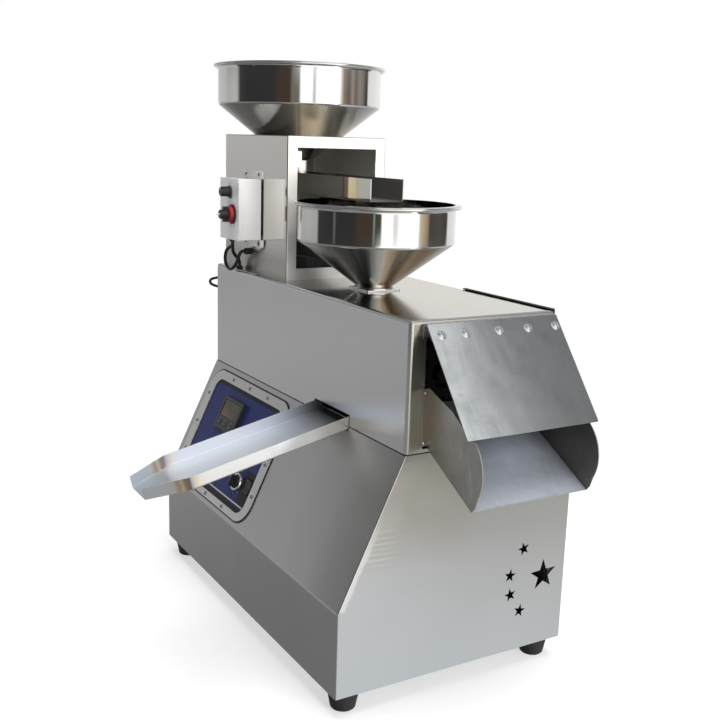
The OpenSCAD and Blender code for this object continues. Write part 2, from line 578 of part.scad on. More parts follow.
base_plate();
front_panel();
left_end_panel();
right_end_panel();
back_panel();
deck_plate();
frame_posts();
feet();
hood_shell();
hood_right_end();
rear_edge_trim();
cake_chute();
hinge_leaf();
hinge_pin();
flap_plate();
flap_leaf();
flap_rivets();
oil_spout();
oil_tray();
feed_hopper();
feed_throat();
press_barrel();
heater_bands();
press_head();
press_screw();
bearing_housing();
bearings();
gearbox_case();
gearbox_cover();
main_gear();
pinion_shaft();
v_belt();
motor();
motor_shaft();
mains_inlet();
panel_frame();
panel_face();
screws();
controller();
key_set();
key_down();
key_up();
selector_bezel();
selector_knob();
rocker();
feeder_tower();
feeder_tray();
leaf_springs();
feeder_base();
magnet();
upper_hopper();
box_case();
box_cover();
feeder_knob();
switch_plate();
switch_handle();
grommets();
coil_lead();
supply_lead();
bond_lead();
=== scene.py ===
import math
import bpy
import bmesh
from mathutils import Matrix, Vector


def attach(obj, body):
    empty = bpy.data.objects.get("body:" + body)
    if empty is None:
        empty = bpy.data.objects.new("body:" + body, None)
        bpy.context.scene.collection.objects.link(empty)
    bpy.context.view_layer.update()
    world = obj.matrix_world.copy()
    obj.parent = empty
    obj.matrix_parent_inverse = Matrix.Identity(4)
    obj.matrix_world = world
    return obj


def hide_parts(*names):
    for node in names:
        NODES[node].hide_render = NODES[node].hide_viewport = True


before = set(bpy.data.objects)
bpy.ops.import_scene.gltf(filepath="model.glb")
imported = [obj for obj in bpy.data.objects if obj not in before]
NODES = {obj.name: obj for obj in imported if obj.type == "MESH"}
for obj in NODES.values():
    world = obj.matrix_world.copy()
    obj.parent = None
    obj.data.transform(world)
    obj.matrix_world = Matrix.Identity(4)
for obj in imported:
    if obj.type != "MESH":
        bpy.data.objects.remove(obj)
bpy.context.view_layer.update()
SCENE = bpy.context.scene

# ------------------------------------------------------------------ places
# Shapes are drawn in millimetres from the cabinet's left front corner, its lower
# edge at 30, then moved to the part's own frame in metres.
OX, OY, LIFT = 456.25, 118.85, 8.0
ROW = Matrix.Translation((-OX / 1000, -OY / 1000, LIFT / 1000)) @ Matrix.Scale(0.001, 4)
L, D = 800.0, 486.0
Z0, ZF, ZT, ZH, ZTOW = 30.0, 183.0, 438.0, 662.0, 947.0
Y0, Y1 = 120.0, 420.0
YC, XF, XS, XSP = 252.0, 470.0, 140.0, 549.0
PHI = math.atan2(255.0, 120.0)
SLOPE = Matrix.Translation((0, 0, ZF)) @ Matrix.Rotation(PHI, 4, "X")
SPOUT = Matrix.Translation((XSP, Y0, ZT - 4.4)) @ Matrix.Rotation(math.radians(13), 4, "X")
FLAP_W, FLAP_L = 269.0, 203.0
SWUNG = Matrix.Translation((L + 4.5, YC + 28 - FLAP_W / 2, ZH - 7)) @ Matrix.Rotation(math.radians(-37.5), 4, "Y")


def row(x, y, z):
    return Vector(((x - OX) / 1000, (y - OY) / 1000, (z + LIFT) / 1000))


def facing(x, y, z):
    return Matrix.Translation((x, y, z)) @ Matrix.Rotation(math.radians(90), 4, "X")


# ------------------------------------------------------------------ camera
def make_camera():
    az, el, roll = math.radians(59.22), math.radians(12.33), math.radians(1.71)
    back = Vector((math.sin(az) * math.cos(el), -math.cos(az) * math.cos(el), math.sin(el)))
    right = Vector((math.cos(az), math.sin(az), 0))
    up = back.cross(right)
    r2 = right * math.cos(roll) + up * math.sin(roll)
    u2 = up * math.cos(roll) - right * math.sin(roll)
    data = bpy.data.cameras.new("camera")
    data.sensor_width = 36
    data.lens = 994 / 720 * 36
    data.clip_start, data.clip_end = 0.05, 60
    cam = bpy.data.objects.new("camera", data)
    SCENE.collection.objects.link(cam)
    p = row(2095, -743, 937)
    cam.matrix_world = Matrix(
        ((r2.x, u2.x, back.x, p.x), (r2.y, u2.y, back.y, p.y), (r2.z, u2.z, back.z, p.z), (0, 0, 0, 1))
    )
    SCENE.camera = cam


make_camera()


# ------------------------------------------------------------------ mesh tools
def fillet(pts, radii, n=5):
    """A closed outline with its corners rounded."""
    out = []
    k = len(pts)
    for i in range(k):
        a, b, c = Vector(pts[i - 1]), Vector(pts[i]), Vector(pts[(i + 1) % k])
        r = radii[i] if hasattr(radii, "__len__") else radii
        if r <= 0:
            out.append(tuple(b))
            continue
        u, v = (a - b).normalized(), (c - b).normalized()
        ang = u.angle(v)
        if ang > math.pi - 1e-3:
            out.append(tuple(b))
            continue
        d = min(r / math.tan(ang / 2), 0.49 * (a - b).length, 0.49 * (c - b).length)
        r = d * math.tan(ang / 2)
        m = b + (u + v).normalized() * (r / math.sin(ang / 2))
        p, q = b + u * d - m, b + v * d - m
        tot = p.angle(q)
        for j in range(n + 1):
            f = j / n
            w = (p * math.sin((1 - f) * tot) + q * math.sin(f * tot)) / math.sin(tot)
            out.append(tuple(m + w))
    return out


def rect(x0, y0, x1, y1):
    return [(x0, y0), (x1, y0), (x1, y1), (x0, y1)]


def prism(bm, pts, vec, mat=0):
    """A closed solid from a flat outline (3-D points) and a vector."""
    vec = Vector(vec)
    lo = [bm.verts.new(p) for p in pts]
    hi = [bm.verts.new(Vector(p) + vec) for p in pts]
    n = len(pts)
    faces = [bm.faces.new(lo[::-1]), bm.faces.new(hi)]
    for i in range(n):
        faces.append(bm.faces.new((lo[i], lo[(i + 1) % n], hi[(i + 1) % n], hi[i])))
    bmesh.ops.recalc_face_normals(bm, faces=faces)
    for f in faces:
        f.material_index = mat
    return faces


def block(bm, a, b, mat=0):
    return prism(bm, [(a[0], a[1], a[2]), (b[0], a[1], a[2]), (b[0], b[1], a[2]), (a[0], b[1], a[2])], (0, 0, b[2] - a[2]), mat)


def lathe(bm, prof, seg=64, closed=True, mat=0):
    """Turns an outline of (radius, height) about Z."""
    rings = []
    for r, z in prof:
        if r < 1e-6:
            rings.append([bm.verts.new((0, 0, z))])
        else:
            rings.append([bm.verts.new((r * math.cos(2 * math.pi * i / seg), r * math.sin(2 * math.pi * i / seg), z)) for i in range(seg)])
    faces = []
    for k in range(len(prof) if closed else len(prof) - 1):
        a, b = rings[k], rings[(k + 1) % len(prof)]
        if len(a) == 1 and len(b) == 1:
            continue
        for i in range(seg):
            j = (i + 1) % seg
            if len(a) == 1:
                faces.append(bm.faces.new((a[0], b[j], b[i])))
            elif len(b) == 1:
                faces.append(bm.faces.new((a[i], a[j], b[0])))
            else:
                faces.append(bm.faces.new((a[i], a[j], b[j], b[i])))
    bmesh.ops.recalc_face_normals(bm, faces=faces)
    for f in faces:
        f.material_index = mat
    return faces


def move(bm, faces, m):
    verts = list({v for f in faces for v in f.verts})
    bmesh.ops.transform(bm, matrix=m, verts=verts)
    return faces


def soften(bm, r, seg=3, deg=30, keep=None):
    """Rounds the edges that are sharper than deg."""
    edges = [e for e in bm.edges if len(e.link_faces) == 2 and e.calc_face_angle(0) > math.radians(deg) and (keep is None or keep(e))]
    if edges:
        bmesh.ops.bevel(bm, geom=edges, offset=r, segments=seg, profile=0.5, affect="EDGES", clamp_overlap=True)


def raw(name, bm):
    me = bpy.data.meshes.new(name)
    bm.normal_update()
    bm.to_mesh(me)
    bm.free()
    o = bpy.data.objects.new(name, me)
    SCENE.collection.objects.link(o)
    return o


def bake(o):
    """Puts the result of an object's modifiers into its mesh."""
    bpy.context.view_layer.update()
    dg = bpy.context.evaluated_depsgraph_get()
    me = bpy.data.meshes.new_from_object(o.evaluated_get(dg), depsgraph=dg)
    old = o.data
    o.modifiers.clear()
    o.data = me
    bpy.data.meshes.remove(old)
    return o


def cut(o, cutters):
    for c in cutters:
        m = o.modifiers.new("cut", "BOOLEAN")
        m.operation, m.object, m.solver = "DIFFERENCE", c, "EXACT"
    bake(o)
    for c in cutters:
        me = c.data
        bpy.data.objects.remove(c)
        bpy.data.meshes.remove(me)
    return o


def thicken(o, t, mats=()):
    """A sheet of thickness t; with two finishes, the second goes inside."""
    for k in mats:
        o.data.materials.append(k)
    m = o.modifiers.new("wall", "SOLIDIFY")
    m.thickness, m.offset, m.use_even_offset = t, -1, True
    m.material_offset = len(mats) - 1 if mats else 0
    return bake(o)


def tool(fn):
    """A cutting body drawn by fn(bm)."""
    bm = bmesh.new()
    fn(bm)
    return raw("tool", bm)


def piece(o, mats, body, nodes=(), deg=38, weighted=True):
    """A finished piece: placed, shaded, painted, riding on its body."""
    if not isinstance(o, bpy.types.Object):
        name, bm = o
        o = raw(name, bm)
    o.data.transform(ROW)
    o.data.polygons.foreach_set("use_smooth", [True] * len(o.data.polygons))
    o.data.set_sharp_from_angle(angle=math.radians(deg))
    idx = [0] * len(o.data.polygons)
    o.data.polygons.foreach_get("material_index", idx)
    o.data.materials.clear()
    for m in mats if isinstance(mats, (list, tuple)) else [mats]:
        o.data.materials.append(m)
    o.data.polygons.foreach_set("material_index", idx)
    if weighted:
        w = o.modifiers.new("normals", "WEIGHTED_NORMAL")
        w.keep_sharp, w.weight, w.mode = True, 50, "FACE_AREA"
    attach(o, body)
    if nodes:
        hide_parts(*nodes)
    return o


# ------------------------------------------------------------------ finishes
class Paint:
    """One procedural finish."""

    def __init__(self, name, **fixed):
        self.m = bpy.data.materials.new(name)
        self.m.use_nodes = True
        self.t = self.m.node_tree
        self.t.nodes.clear()
        out = self.add("ShaderNodeOutputMaterial")
        self.b = self.add("ShaderNodeBsdfPrincipled")
        self.t.links.new(self.b.outputs[0], out.inputs["Surface"])
        self.pos = self.add("ShaderNodeTexCoord").outputs["Object"]
        for k, v in fixed.items():
            self.b.inputs[k.replace("_", " ")].default_value = v

    def add(self, kind, **props):
        n = self.t.nodes.new(kind)
        for k, v in props.items():
            setattr(n, k, v)
        return n

    def put(self, sock, v):
        if isinstance(v, bpy.types.NodeSocket):
            self.t.links.new(v, sock)
        else:
            sock.default_value = v

    def stretch(self, sx, sy, sz, loc=(0, 0, 0), rot=(0, 0, 0)):
        n = self.add("ShaderNodeMapping")
        n.inputs["Scale"].default_value = (sx, sy, sz)
        n.inputs["Location"].default_value = loc
        n.inputs["Rotation"].default_value = rot
        self.t.links.new(self.pos, n.inputs["Vector"])
        return n.outputs[0]

    def noise(self, vec, scale=1.0, detail=3.0, rough=0.55, warp=0.0):
        n = self.add("ShaderNodeTexNoise")
        self.put(n.inputs["Vector"], vec)
        n.inputs["Scale"].default_value = scale
        n.inputs["Detail"].default_value = detail
        n.inputs["Roughness"].default_value = rough
        n.inputs["Distortion"].default_value = warp
        return n.outputs["Fac"]

    def cells(self, vec, scale=1.0):
        n = self.add("ShaderNodeTexVoronoi")
        self.put(n.inputs["Vector"], vec)
        n.inputs["Scale"].default_value = scale
        return n.outputs["Color"]

    def math(self, op, a, b=0.0, c=None):
        n = self.add("ShaderNodeMath", operation=op)
        self.put(n.inputs[0], a)
        self.put(n.inputs[1], b)
        if c is not None:
            self.put(n.inputs[2], c)
        return n.outputs[0]

    def span(self, v, a, b, c, d, smooth=False):
        n = self.add("ShaderNodeMapRange")
        if smooth:
            n.interpolation_type = "SMOOTHSTEP"
        self.put(n.inputs["Value"], v)
        for k, x in zip(("From Min", "From Max", "To Min", "To Max"), (a, b, c, d)):
            self.put(n.inputs[k], x)
        return n.outputs[0]

    def mix(self, f, a, b, how="MIX"):
        n = self.add("ShaderNodeMix", data_type="RGBA", blend_type=how)
        self.put(n.inputs[0], f)
        self.put(n.inputs[6], a if isinstance(a, bpy.types.NodeSocket) else (*a, 1))
        self.put(n.inputs[7], b if isinstance(b, bpy.types.NodeSocket) else (*b, 1))
        return n.outputs[2]

    def ramp(self, v, stops, how="LINEAR"):
        n = self.add("ShaderNodeValToRGB")
        n.color_ramp.interpolation = how
        e = n.color_ramp.elements
        while len(e) < len(stops):
            e.new(0.5)
        for x, (p, c) in zip(e, stops):
            x.position = p
            x.color = (*c, 1)
        self.put(n.inputs[0], v)
        return n.outputs[0]

    def axes(self, vec):
        n = self.add("ShaderNodeSeparateXYZ")
        self.put(n.inputs[0], vec)
        return n.outputs[0], n.outputs[1], n.outputs[2]

    def normal(self):
        return self.axes(self.add("ShaderNodeNewGeometry").outputs["Normal"])

    def bump(self, h, strength, dist, after=None):
        n = self.add("ShaderNodeBump")
        n.inputs["Strength"].default_value = strength
        n.inputs["Distance"].default_value = dist
        self.put(n.inputs["Height"], h)
        if after is not None:
            self.t.links.new(after, n.inputs["Normal"])
        return n.outputs[0]

    def colour(self, v):
        self.put(self.b.inputs["Base Color"], v)

    def rough(self, v):
        self.put(self.b.inputs["Roughness"], v)

    def shape(self, v):
        self.put(self.b.inputs["Normal"], v)


def shade(c, k):
    return tuple(min(1.0, x * k) for x in c)


def sheet_steel(name, base, rough, streak=0.06, smudge=0.08, rvar=0.06, wave=0.0015, grain=0.0, extra=None, metallic=1.0):
    """Rolled or brushed sheet: fine lines along the sheet, smudges, slight waviness."""
    p = Paint(name, Metallic=metallic)
    nx = p.math("ABSOLUTE", p.normal()[0])
    end = p.span(nx, 0.65, 0.75, 0, 1)
    sx = p.noise(p.stretch(1.4, 640, 640), detail=4, rough=0.7)
    sy = p.noise(p.stretch(640, 1.4, 640), detail=4, rough=0.7)
    m = p.add("ShaderNodeMix", data_type="FLOAT")
    p.put(m.inputs[0], end)
    p.put(m.inputs[2], sx)
    p.put(m.inputs[3], sy)
    line = m.outputs[0]
    cloud = p.noise(p.stretch(3.1, 3.1, 3.1), detail=6, rough=0.6, warp=0.3)
    spots = p.noise(p.stretch(26, 26, 26), detail=4, rough=0.65)
    f = p.math("ADD", p.math("MULTIPLY", p.math("SUBTRACT", line, 0.5), streak * 6), p.math("MULTIPLY", p.math("SUBTRACT", cloud, 0.5), smudge * 6))
    f = p.math("ADD", f, 0.5)
    col = p.mix(f, shade(base, 0.88), shade(base, 1.1))
    r = p.math("ADD", p.math("MULTIPLY", p.math("SUBTRACT", cloud, 0.5), rvar * 3), p.math("MULTIPLY", p.math("SUBTRACT", spots, 0.5), rvar * 1.2))
    r = p.math("ADD", r, p.math("MULTIPLY", p.math("SUBTRACT", line, 0.5), rvar * 2))
    r = p.math("ADD", r, rough)
    if extra:
        col, r = extra(p, col, r)
    p.colour(col)
    p.rough(p.math("MAXIMUM", r, 0.02))
    n = p.bump(p.noise(p.stretch(4.2, 4.2, 4.2), detail=1.5, rough=0.4), 1.0, wave)
    if grain:
        n = p.bump(line, grain, 0.0004, n)
    p.shape(n)
    return p.m


def turned_steel(name, base, rough):
    """Spun and polished bowl: rings round the axis, a little grime."""
    p = Paint(name, Metallic=1.0)
    ring = p.noise(p.stretch(3, 3, 700), detail=3, rough=0.6)
    cloud = p.noise(p.stretch(7, 7, 5), detail=6, rough=0.65)
    f = p.math("ADD", p.math("MULTIPLY", ring, 0.45), p.math("MULTIPLY", cloud, 0.55))
    p.colour(p.mix(f, shade(base, 0.86), shade(base, 1.12)))
    p.rough(p.math("MAXIMUM", p.math("ADD", p.math("MULTIPLY", p.math("SUBTRACT", f, 0.5), 0.16), rough), 0.02))
    p.shape(p.bump(p.noise(p.stretch(9, 9, 4), detail=1.0, rough=0.4), 1.0, 0.0006))
    return p.m


def cone_steel(name, base, rough, cx, painted_reflection_bands):
    """Cone beaten from sheet: streaks down its slope, and painted reflection bands, lighter and darker by angle round
    its axis.
    """
    p = Paint(name, Metallic=1.0)
    x, y, z = p.axes(p.pos)
    a = p.math("ARCTAN2", p.math("SUBTRACT", y, (YC - OY) / 1000), p.math("SUBTRACT", x, (cx - OX) / 1000))
    v = p.add("ShaderNodeCombineXYZ")
    p.put(v.inputs[0], p.math("MULTIPLY", a, 16.0))
    p.put(v.inputs[1], p.math("MULTIPLY", z, 5.0))
    run = p.noise(v.outputs[0], scale=1.0, detail=5, rough=0.65)
    cloud = p.noise(p.stretch(7, 7, 5), detail=5, rough=0.6)
    f = p.math("ADD", p.math("MULTIPLY", run, 0.7), p.math("MULTIPLY", cloud, 0.3))
    col = p.ramp(f, [(0.3, shade(base, 0.80)), (0.5, base), (0.7, shade(base, 1.14))])
    # painted reflection: bands by angle round the axis, with ragged edges, multiplied into the colour
    turn = p.span(p.math("ADD", a, p.math("MULTIPLY", p.math("SUBTRACT", run, 0.5), 0.24)), -math.pi, math.pi, 0, 1)
    col = p.mix(1.0, col, p.ramp(turn, [((q + 180) / 360, k if isinstance(k, tuple) else (k, k, k)) for q, k in painted_reflection_bands]), "MULTIPLY")
    p.colour(col)
    p.rough(p.span(f, 0.3, 0.7, rough + 0.07, rough - 0.07))
    p.shape(p.bump(run, 0.25, 0.0012))
    return p.m


def zinc(name, base, rough, spangle=0.18, wave=0.0012, rvar=0.1, metallic=1.0, extra=None):
    """Galvanised sheet: soft spangle and dull patches."""
    p = Paint(name, Metallic=metallic)
    cell = p.axes(p.cells(p.stretch(1, 1, 1), 70))[0]
    cloud = p.noise(p.stretch(6, 6, 6), detail=6, rough=0.62, warp=0.4)
    fine = p.noise(p.stretch(60, 60, 60), detail=4, rough=0.6)
    f = p.math("ADD", p.math("MULTIPLY", cell, spangle), p.math("MULTIPLY", cloud, 0.73 - spangle))
    f = p.math("ADD", f, p.math("MULTIPLY", fine, 0.27))
    col = p.ramp(f, [(0.25, shade(base, 0.72)), (0.5, base), (0.75, shade(base, 1.16))])
    r = p.span(f, 0.2, 0.8, rough + rvar, rough - rvar)
    if extra:
        col, r = extra(p, col, r)
    p.colour(col)
    p.rough(r)
    p.shape(p.bump(p.noise(p.stretch(7, 7, 7), detail=2, rough=0.5), 1.0, wave))
    return p.m


def plain(name, base, rough, vary=0.12, rvar=0.08, scale=40, bump=0.05, **fixed):
    """Painted, moulded or cast surfaces with fine grain and handling marks."""
    p = Paint(name, **fixed)
    fine = p.noise(p.stretch(scale, scale, scale), detail=5, rough=0.6)
    big = p.noise(p.stretch(5, 5, 5), detail=4, rough=0.55)
    f = p.math("ADD", p.math("MULTIPLY", fine, 0.5), p.math("MULTIPLY", big, 0.5))
    p.colour(p.mix(f, shade(base, 1 - vary), shade(base, 1 + vary)))
    p.rough(p.span(f, 0.25, 0.75, rough - rvar, rough + rvar))
    if bump:
        p.shape(p.bump(fine, bump, 0.0006))
    return p.m


def ground_weld_and_painted_shade(p, col, r):
    """Right end only: the weld along the slope's edge is ground bright, with grinding lines beside it. Also a painted
    reflection on the slope and painted shade on the right end near the hood.
    """
    x, y, z = p.axes(p.pos)
    c, s = math.cos(PHI), math.sin(PHI)
    yy = p.math("ADD", y, OY / 1000)
    zz = p.math("SUBTRACT", z, (ZF + LIFT) / 1000)
    d = p.math("SUBTRACT", p.math("MULTIPLY", yy, s), p.math("MULTIPLY", zz, c))
    u = p.math("ADD", p.math("MULTIPLY", yy, c), p.math("MULTIPLY", zz, s))
    wide = p.math("ADD", p.math("MULTIPLY", p.noise(p.stretch(22, 22, 22), detail=3), 0.016), 0.0025)
    f = p.span(p.math("SUBTRACT", wide, d), -0.002, 0.0045, 0.0, 1.0, True)
    f = p.math("MULTIPLY", f, p.math("MULTIPLY", p.span(u, 0.004, 0.010, 0, 1, True), p.span(u, 0.10, 0.19, 0.85, 0, True)))
    end = p.span(p.normal()[0], 0.6, 0.9, 0.0, 1.0)
    col = p.mix(p.math("MULTIPLY", f, end), col, (0.84, 0.83, 0.81))
    wobble = p.math("ADD", p.math("MULTIPLY", p.noise(p.stretch(1, 14, 40), detail=3), 9.0), p.math("MULTIPLY", y, 30.0))
    lines = p.span(p.math("SINE", p.math("ADD", p.math("MULTIPLY", z, 640.0), wobble)), 0.1, 0.95, 0, 1)
    near = p.math("MULTIPLY", p.span(d, 0.002, 0.012, 0, 1, True), p.span(d, 0.030, 0.075, 1, 0, True))
    near = p.math("MULTIPLY", near, p.math("MULTIPLY", p.span(u, 0.085, 0.105, 0, 1, True), p.span(u, 0.150, 0.175, 1, 0, True)))
    col = p.mix(p.math("MULTIPLY", p.math("MULTIPLY", lines, near), p.math("MULTIPLY", end, 0.25)), col, (0.86, 0.85, 0.82))
    # the slope is dull, and a painted reflection makes it a little lighter at its left and darker toward its right end
    _, ny, nz = p.normal()
    slope = p.math("MULTIPLY", p.span(nz, 0.30, 0.36, 0, 1), p.span(nz, 0.52, 0.60, 1, 0))
    dark = p.ramp(p.span(x, (560 - OX) / 1000, (800 - OX) / 1000, 0, 1), [(0.0, (1.07, 1.07, 1.08)), (0.45, (1.0, 1.0, 1.0)), (0.72, (0.80, 0.80, 0.80)), (1.0, (0.68, 0.68, 0.68))])
    col = p.mix(slope, col, p.mix(1.0, col, dark, "MULTIPLY"))
    r = p.math("ADD", r, p.math("MULTIPLY", slope, 0.13))
    # painted shade: the right end is darker and browner near the hood
    painted_light_tone = p.ramp(p.span(z, (235 + LIFT) / 1000, (447 + LIFT) / 1000, 0, 1), [(0.0, (1, 1, 1)), (0.35, (0.90, 0.875, 0.82)), (0.7, (0.85, 0.83, 0.74)), (0.88, (0.83, 0.81, 0.71)), (1.0, (0.66, 0.64, 0.56))])
    col = p.mix(p.math("MULTIPLY", end, p.span(y, (205 - OY) / 1000, (330 - OY) / 1000, 1, 0, True)), col, p.mix(1.0, col, painted_light_tone, "MULTIPLY"))
    return col, p.math("ADD", r, p.math("MULTIPLY", p.math("MULTIPLY", f, end), 0.10))


def tray_painted_reflection(p, col, r):
    """Painted reflection on the tray's front wall outside the stand: dark near the stand, then cream, then pale grey
    toward its end.
    """
    x, y, z = p.axes(p.pos)
    f = p.math("MULTIPLY", p.span(x, (396 - OX) / 1000, (404 - OX) / 1000, 0, 1, True), p.span(p.math("MULTIPLY", p.normal()[1], -1), 0.6, 0.9, 0, 1))
    painted_light_tone = p.ramp(p.span(x, (400 - OX) / 1000, (506 - OX) / 1000, 0, 1), [
        (0.0, (0.12, 0.09, 0.075)), (0.185, (0.13, 0.10, 0.07)), (0.225, (0.66, 0.57, 0.36)), (0.31, (0.72, 0.62, 0.38)), (0.36, (0.88, 0.76, 0.47)),
        (0.46, (0.86, 0.75, 0.48)), (0.51, (0.66, 0.62, 0.50)), (0.66, (0.66, 0.64, 0.57)), (1.0, (0.64, 0.66, 0.62)),
    ])
    return p.mix(f, col, painted_light_tone), r


def spout_run(p):
    """Distance along the spout, metres, zero at its root."""
    _, y, z = p.axes(p.pos)
    c, s = math.cos(math.radians(13)), math.sin(math.radians(13))
    a = p.math("MULTIPLY", p.math("ADD", y, (OY - Y0) / 1000), c)
    return p.math("ADD", a, p.math("MULTIPLY", p.math("SUBTRACT", z, (LIFT + ZT - 4.4) / 1000), s))


def weld_heat(p, col, r):
    """Heat colours on the walls beside the spout's weld."""
    d = p.math("ADD", spout_run(p), 0.304)
    d = p.math("ADD", d, p.math("MULTIPLY", p.math("SUBTRACT", p.noise(p.stretch(30, 30, 30), detail=2), 0.5), 0.012))
    f = p.span(d, -0.045, 0.030, 0.0, 1.0)
    heat = p.ramp(f, [
        (0.0, (1, 1, 1)), (0.22, (1.0, 0.95, 0.86)), (0.34, (0.78, 0.54, 0.35)), (0.42, (0.92, 0.78, 0.58)), (0.50, (0.42, 0.29, 0.22)),
        (0.57, (0.32, 0.27, 0.26)), (0.63, (0.60, 0.62, 0.68)), (0.70, (0.95, 0.78, 0.56)), (0.82, (1.0, 0.95, 0.88)), (1.0, (1, 1, 1)),
    ])
    wall = p.span(p.math("ABSOLUTE", p.normal()[0]), 0.5, 0.85, 0.12, 1.0)
    col = p.mix(wall, col, p.mix(1.0, col, heat, "MULTIPLY"))
    return p.mix(p.span(d, -0.016, -0.004, 1, 0), col, p.mix(1.0, col, (0.64, 0.66, 0.68), "MULTIPLY")), r


def heat_and_painted_sheen(p, col, r):
    """Outside of the spout: heat colours, and a painted highlight part of the way along, with painted shade either
    side.
    """
    col, r = weld_heat(p, col, r)
    painted_sheen = p.ramp(p.span(spout_run(p), -0.316, 0.0, 0, 1), [(0.0, (1.05, 1.06, 1.07)), (0.05, (0.88, 0.88, 0.87)), (0.525, (0.88, 0.88, 0.89)), (0.63, (1.20, 1.22, 1.25)), (0.77, (1.30, 1.30, 1.28)), (0.877, (0.95, 0.93, 0.90)), (1.0, (0.86, 0.82, 0.76))])
    return p.mix(1.0, col, painted_sheen, "MULTIPLY"), r


def heat_and_painted_root_shade(p, col, r):
    """Inside the spout: heat colours, painted shade and reflection that darken it toward the hood, and painted shade on
    its floor, darker toward the near wall.
    """
    col, r = weld_heat(p, col, r)
    root_shade = p.ramp(p.span(spout_run(p), -0.15, 0.0, 0, 1), [(0.0, (1, 1, 1)), (0.35, (0.92, 0.93, 0.95)), (0.60, (0.74, 0.75, 0.77)), (0.80, (0.52, 0.525, 0.535)), (0.92, (0.34, 0.34, 0.345)), (1.0, (0.22, 0.22, 0.22))])
    col = p.mix(1.0, col, root_shade, "MULTIPLY")
    floor = p.span(p.normal()[2], 0.5, 0.9, 0, 1)
    floor_shade = p.ramp(p.span(p.axes(p.pos)[0], (XSP - 65 - OX) / 1000, (XSP + 65 - OX) / 1000, 0, 1), [(0.0, (0.68, 0.68, 0.68)), (0.35, (0.60, 0.60, 0.60)), (1.0, (0.52, 0.52, 0.52))])
    return p.mix(floor, col, p.mix(1.0, col, floor_shade, "MULTIPLY")), r


def top_polish_and_painted_end_reflection(p, col, r):
    """The hood's top is smoother than its brushed front; its right end is given a painted brown reflection."""
    col = p.mix(p.span(p.normal()[0], 0.6, 0.9, 0, 1), col, p.mix(1.0, col, (0.86, 0.81, 0.67), "MULTIPLY"))
    return col, p.math("ADD", r, p.span(p.normal()[2], 0.5, 0.9, 0.0, -0.12))


def dull_foot_painted_shade(p, col, r):
    """The stand's front is duller near the hood: rougher, with painted shade darkening it there."""
    f = p.span(p.axes(p.pos)[2], (694 + LIFT) / 1000, (728 + LIFT) / 1000, 1.0, 0.0, True)
    return p.mix(f, col, p.mix(1.0, col, (0.74, 0.74, 0.74), "MULTIPLY")), p.math("ADD", r, p.math("MULTIPLY", f, 0.24))


def worn_flap(p, col, r):
    """Wiped and scuffed zinc: cloudy patches and faint runs down the flap."""
    cloud = p.noise(p.stretch(11, 11, 11), detail=7, rough=0.68, warp=0.5)
    runs = p.noise(p.stretch(9, 34, 5), detail=4, rough=0.6)
    f = p.math("ADD", p.math("MULTIPLY", cloud, 0.65), p.math("MULTIPLY", runs, 0.35))
    return p.mix(1.0, col, p.ramp(f, [(0.32, (0.70, 0.71, 0.72)), (0.5, (1, 1, 1)), (0.68, (1.0, 1.0, 1.0))]), "MULTIPLY"), p.math("ADD", r, p.span(f, 0.35, 0.65, 0.07, -0.03))


def stained_cheek(p, col, r):
    """Pale scuffs low on the chute's cheek."""
    x, y, z = p.axes(p.pos)
    f = p.span(p.noise(p.stretch(26, 26, 15), detail=6, rough=0.7, warp=0.6), 0.50, 0.66, 0, 1)
    low = p.math("MULTIPLY", p.span(z, (500 + LIFT) / 1000, (455 + LIFT) / 1000, 0, 1, True), p.span(x, (L + 20 - OX) / 1000, (L + 70 - OX) / 1000, 0, 1, True))
    return p.mix(p.math("MULTIPLY", p.math("MULTIPLY", f, low), 0.5), col, (0.80, 0.80, 0.77)), p.math("ADD", r, p.math("MULTIPLY", f, 0.06))


M_HOOD = sheet_steel("hood_steel", (0.645, 0.65, 0.65), 0.23, streak=0.012, smudge=0.08, rvar=0.03, wave=0.0006, extra=top_polish_and_painted_end_reflection)
M_BODY = sheet_steel("cabinet_steel", (0.58, 0.58, 0.575), 0.23, streak=0.020, smudge=0.13, rvar=0.03, wave=0.0011, extra=ground_weld_and_painted_shade)
M_BACK = sheet_steel("back_steel", (0.58, 0.58, 0.57), 0.26, streak=0.04, smudge=0.06, rvar=0.05, wave=0.0014, grain=0.05)
M_TOWER = sheet_steel("stand_steel", (0.655, 0.635, 0.60), 0.055, streak=0.012, smudge=0.03, rvar=0.015, wave=0.0004, extra=dull_foot_painted_shade)
# a paler, less metallic copy of the stand's steel for its right side: painted light
M_TOWER_SIDE_LIT = sheet_steel("stand_side_painted_light", (0.95, 0.92, 0.87), 0.30, streak=0.02, smudge=0.03, rvar=0.04, wave=0.0004, metallic=0.55)
M_INNER = sheet_steel("inner_steel", (0.33, 0.31, 0.27), 0.50, streak=0.05, smudge=0.08, rvar=0.06, wave=0.0006, metallic=0.55)
# a pale cream, matt copy of the stand's steel for its inside: painted light
M_STAND_IN_LIT = sheet_steel("stand_inside_painted_light", (0.97, 0.93, 0.84), 0.42, streak=0.05, smudge=0.08, rvar=0.06, wave=0.0006, metallic=0.0)
M_FRAME = sheet_steel("frame_steel", (0.70, 0.69, 0.70), 0.28, streak=0.04, smudge=0.06, rvar=0.05, wave=0.0003, grain=0.012)
M_BOWL = turned_steel("bowl_steel", (0.68, 0.675, 0.66), 0.04)
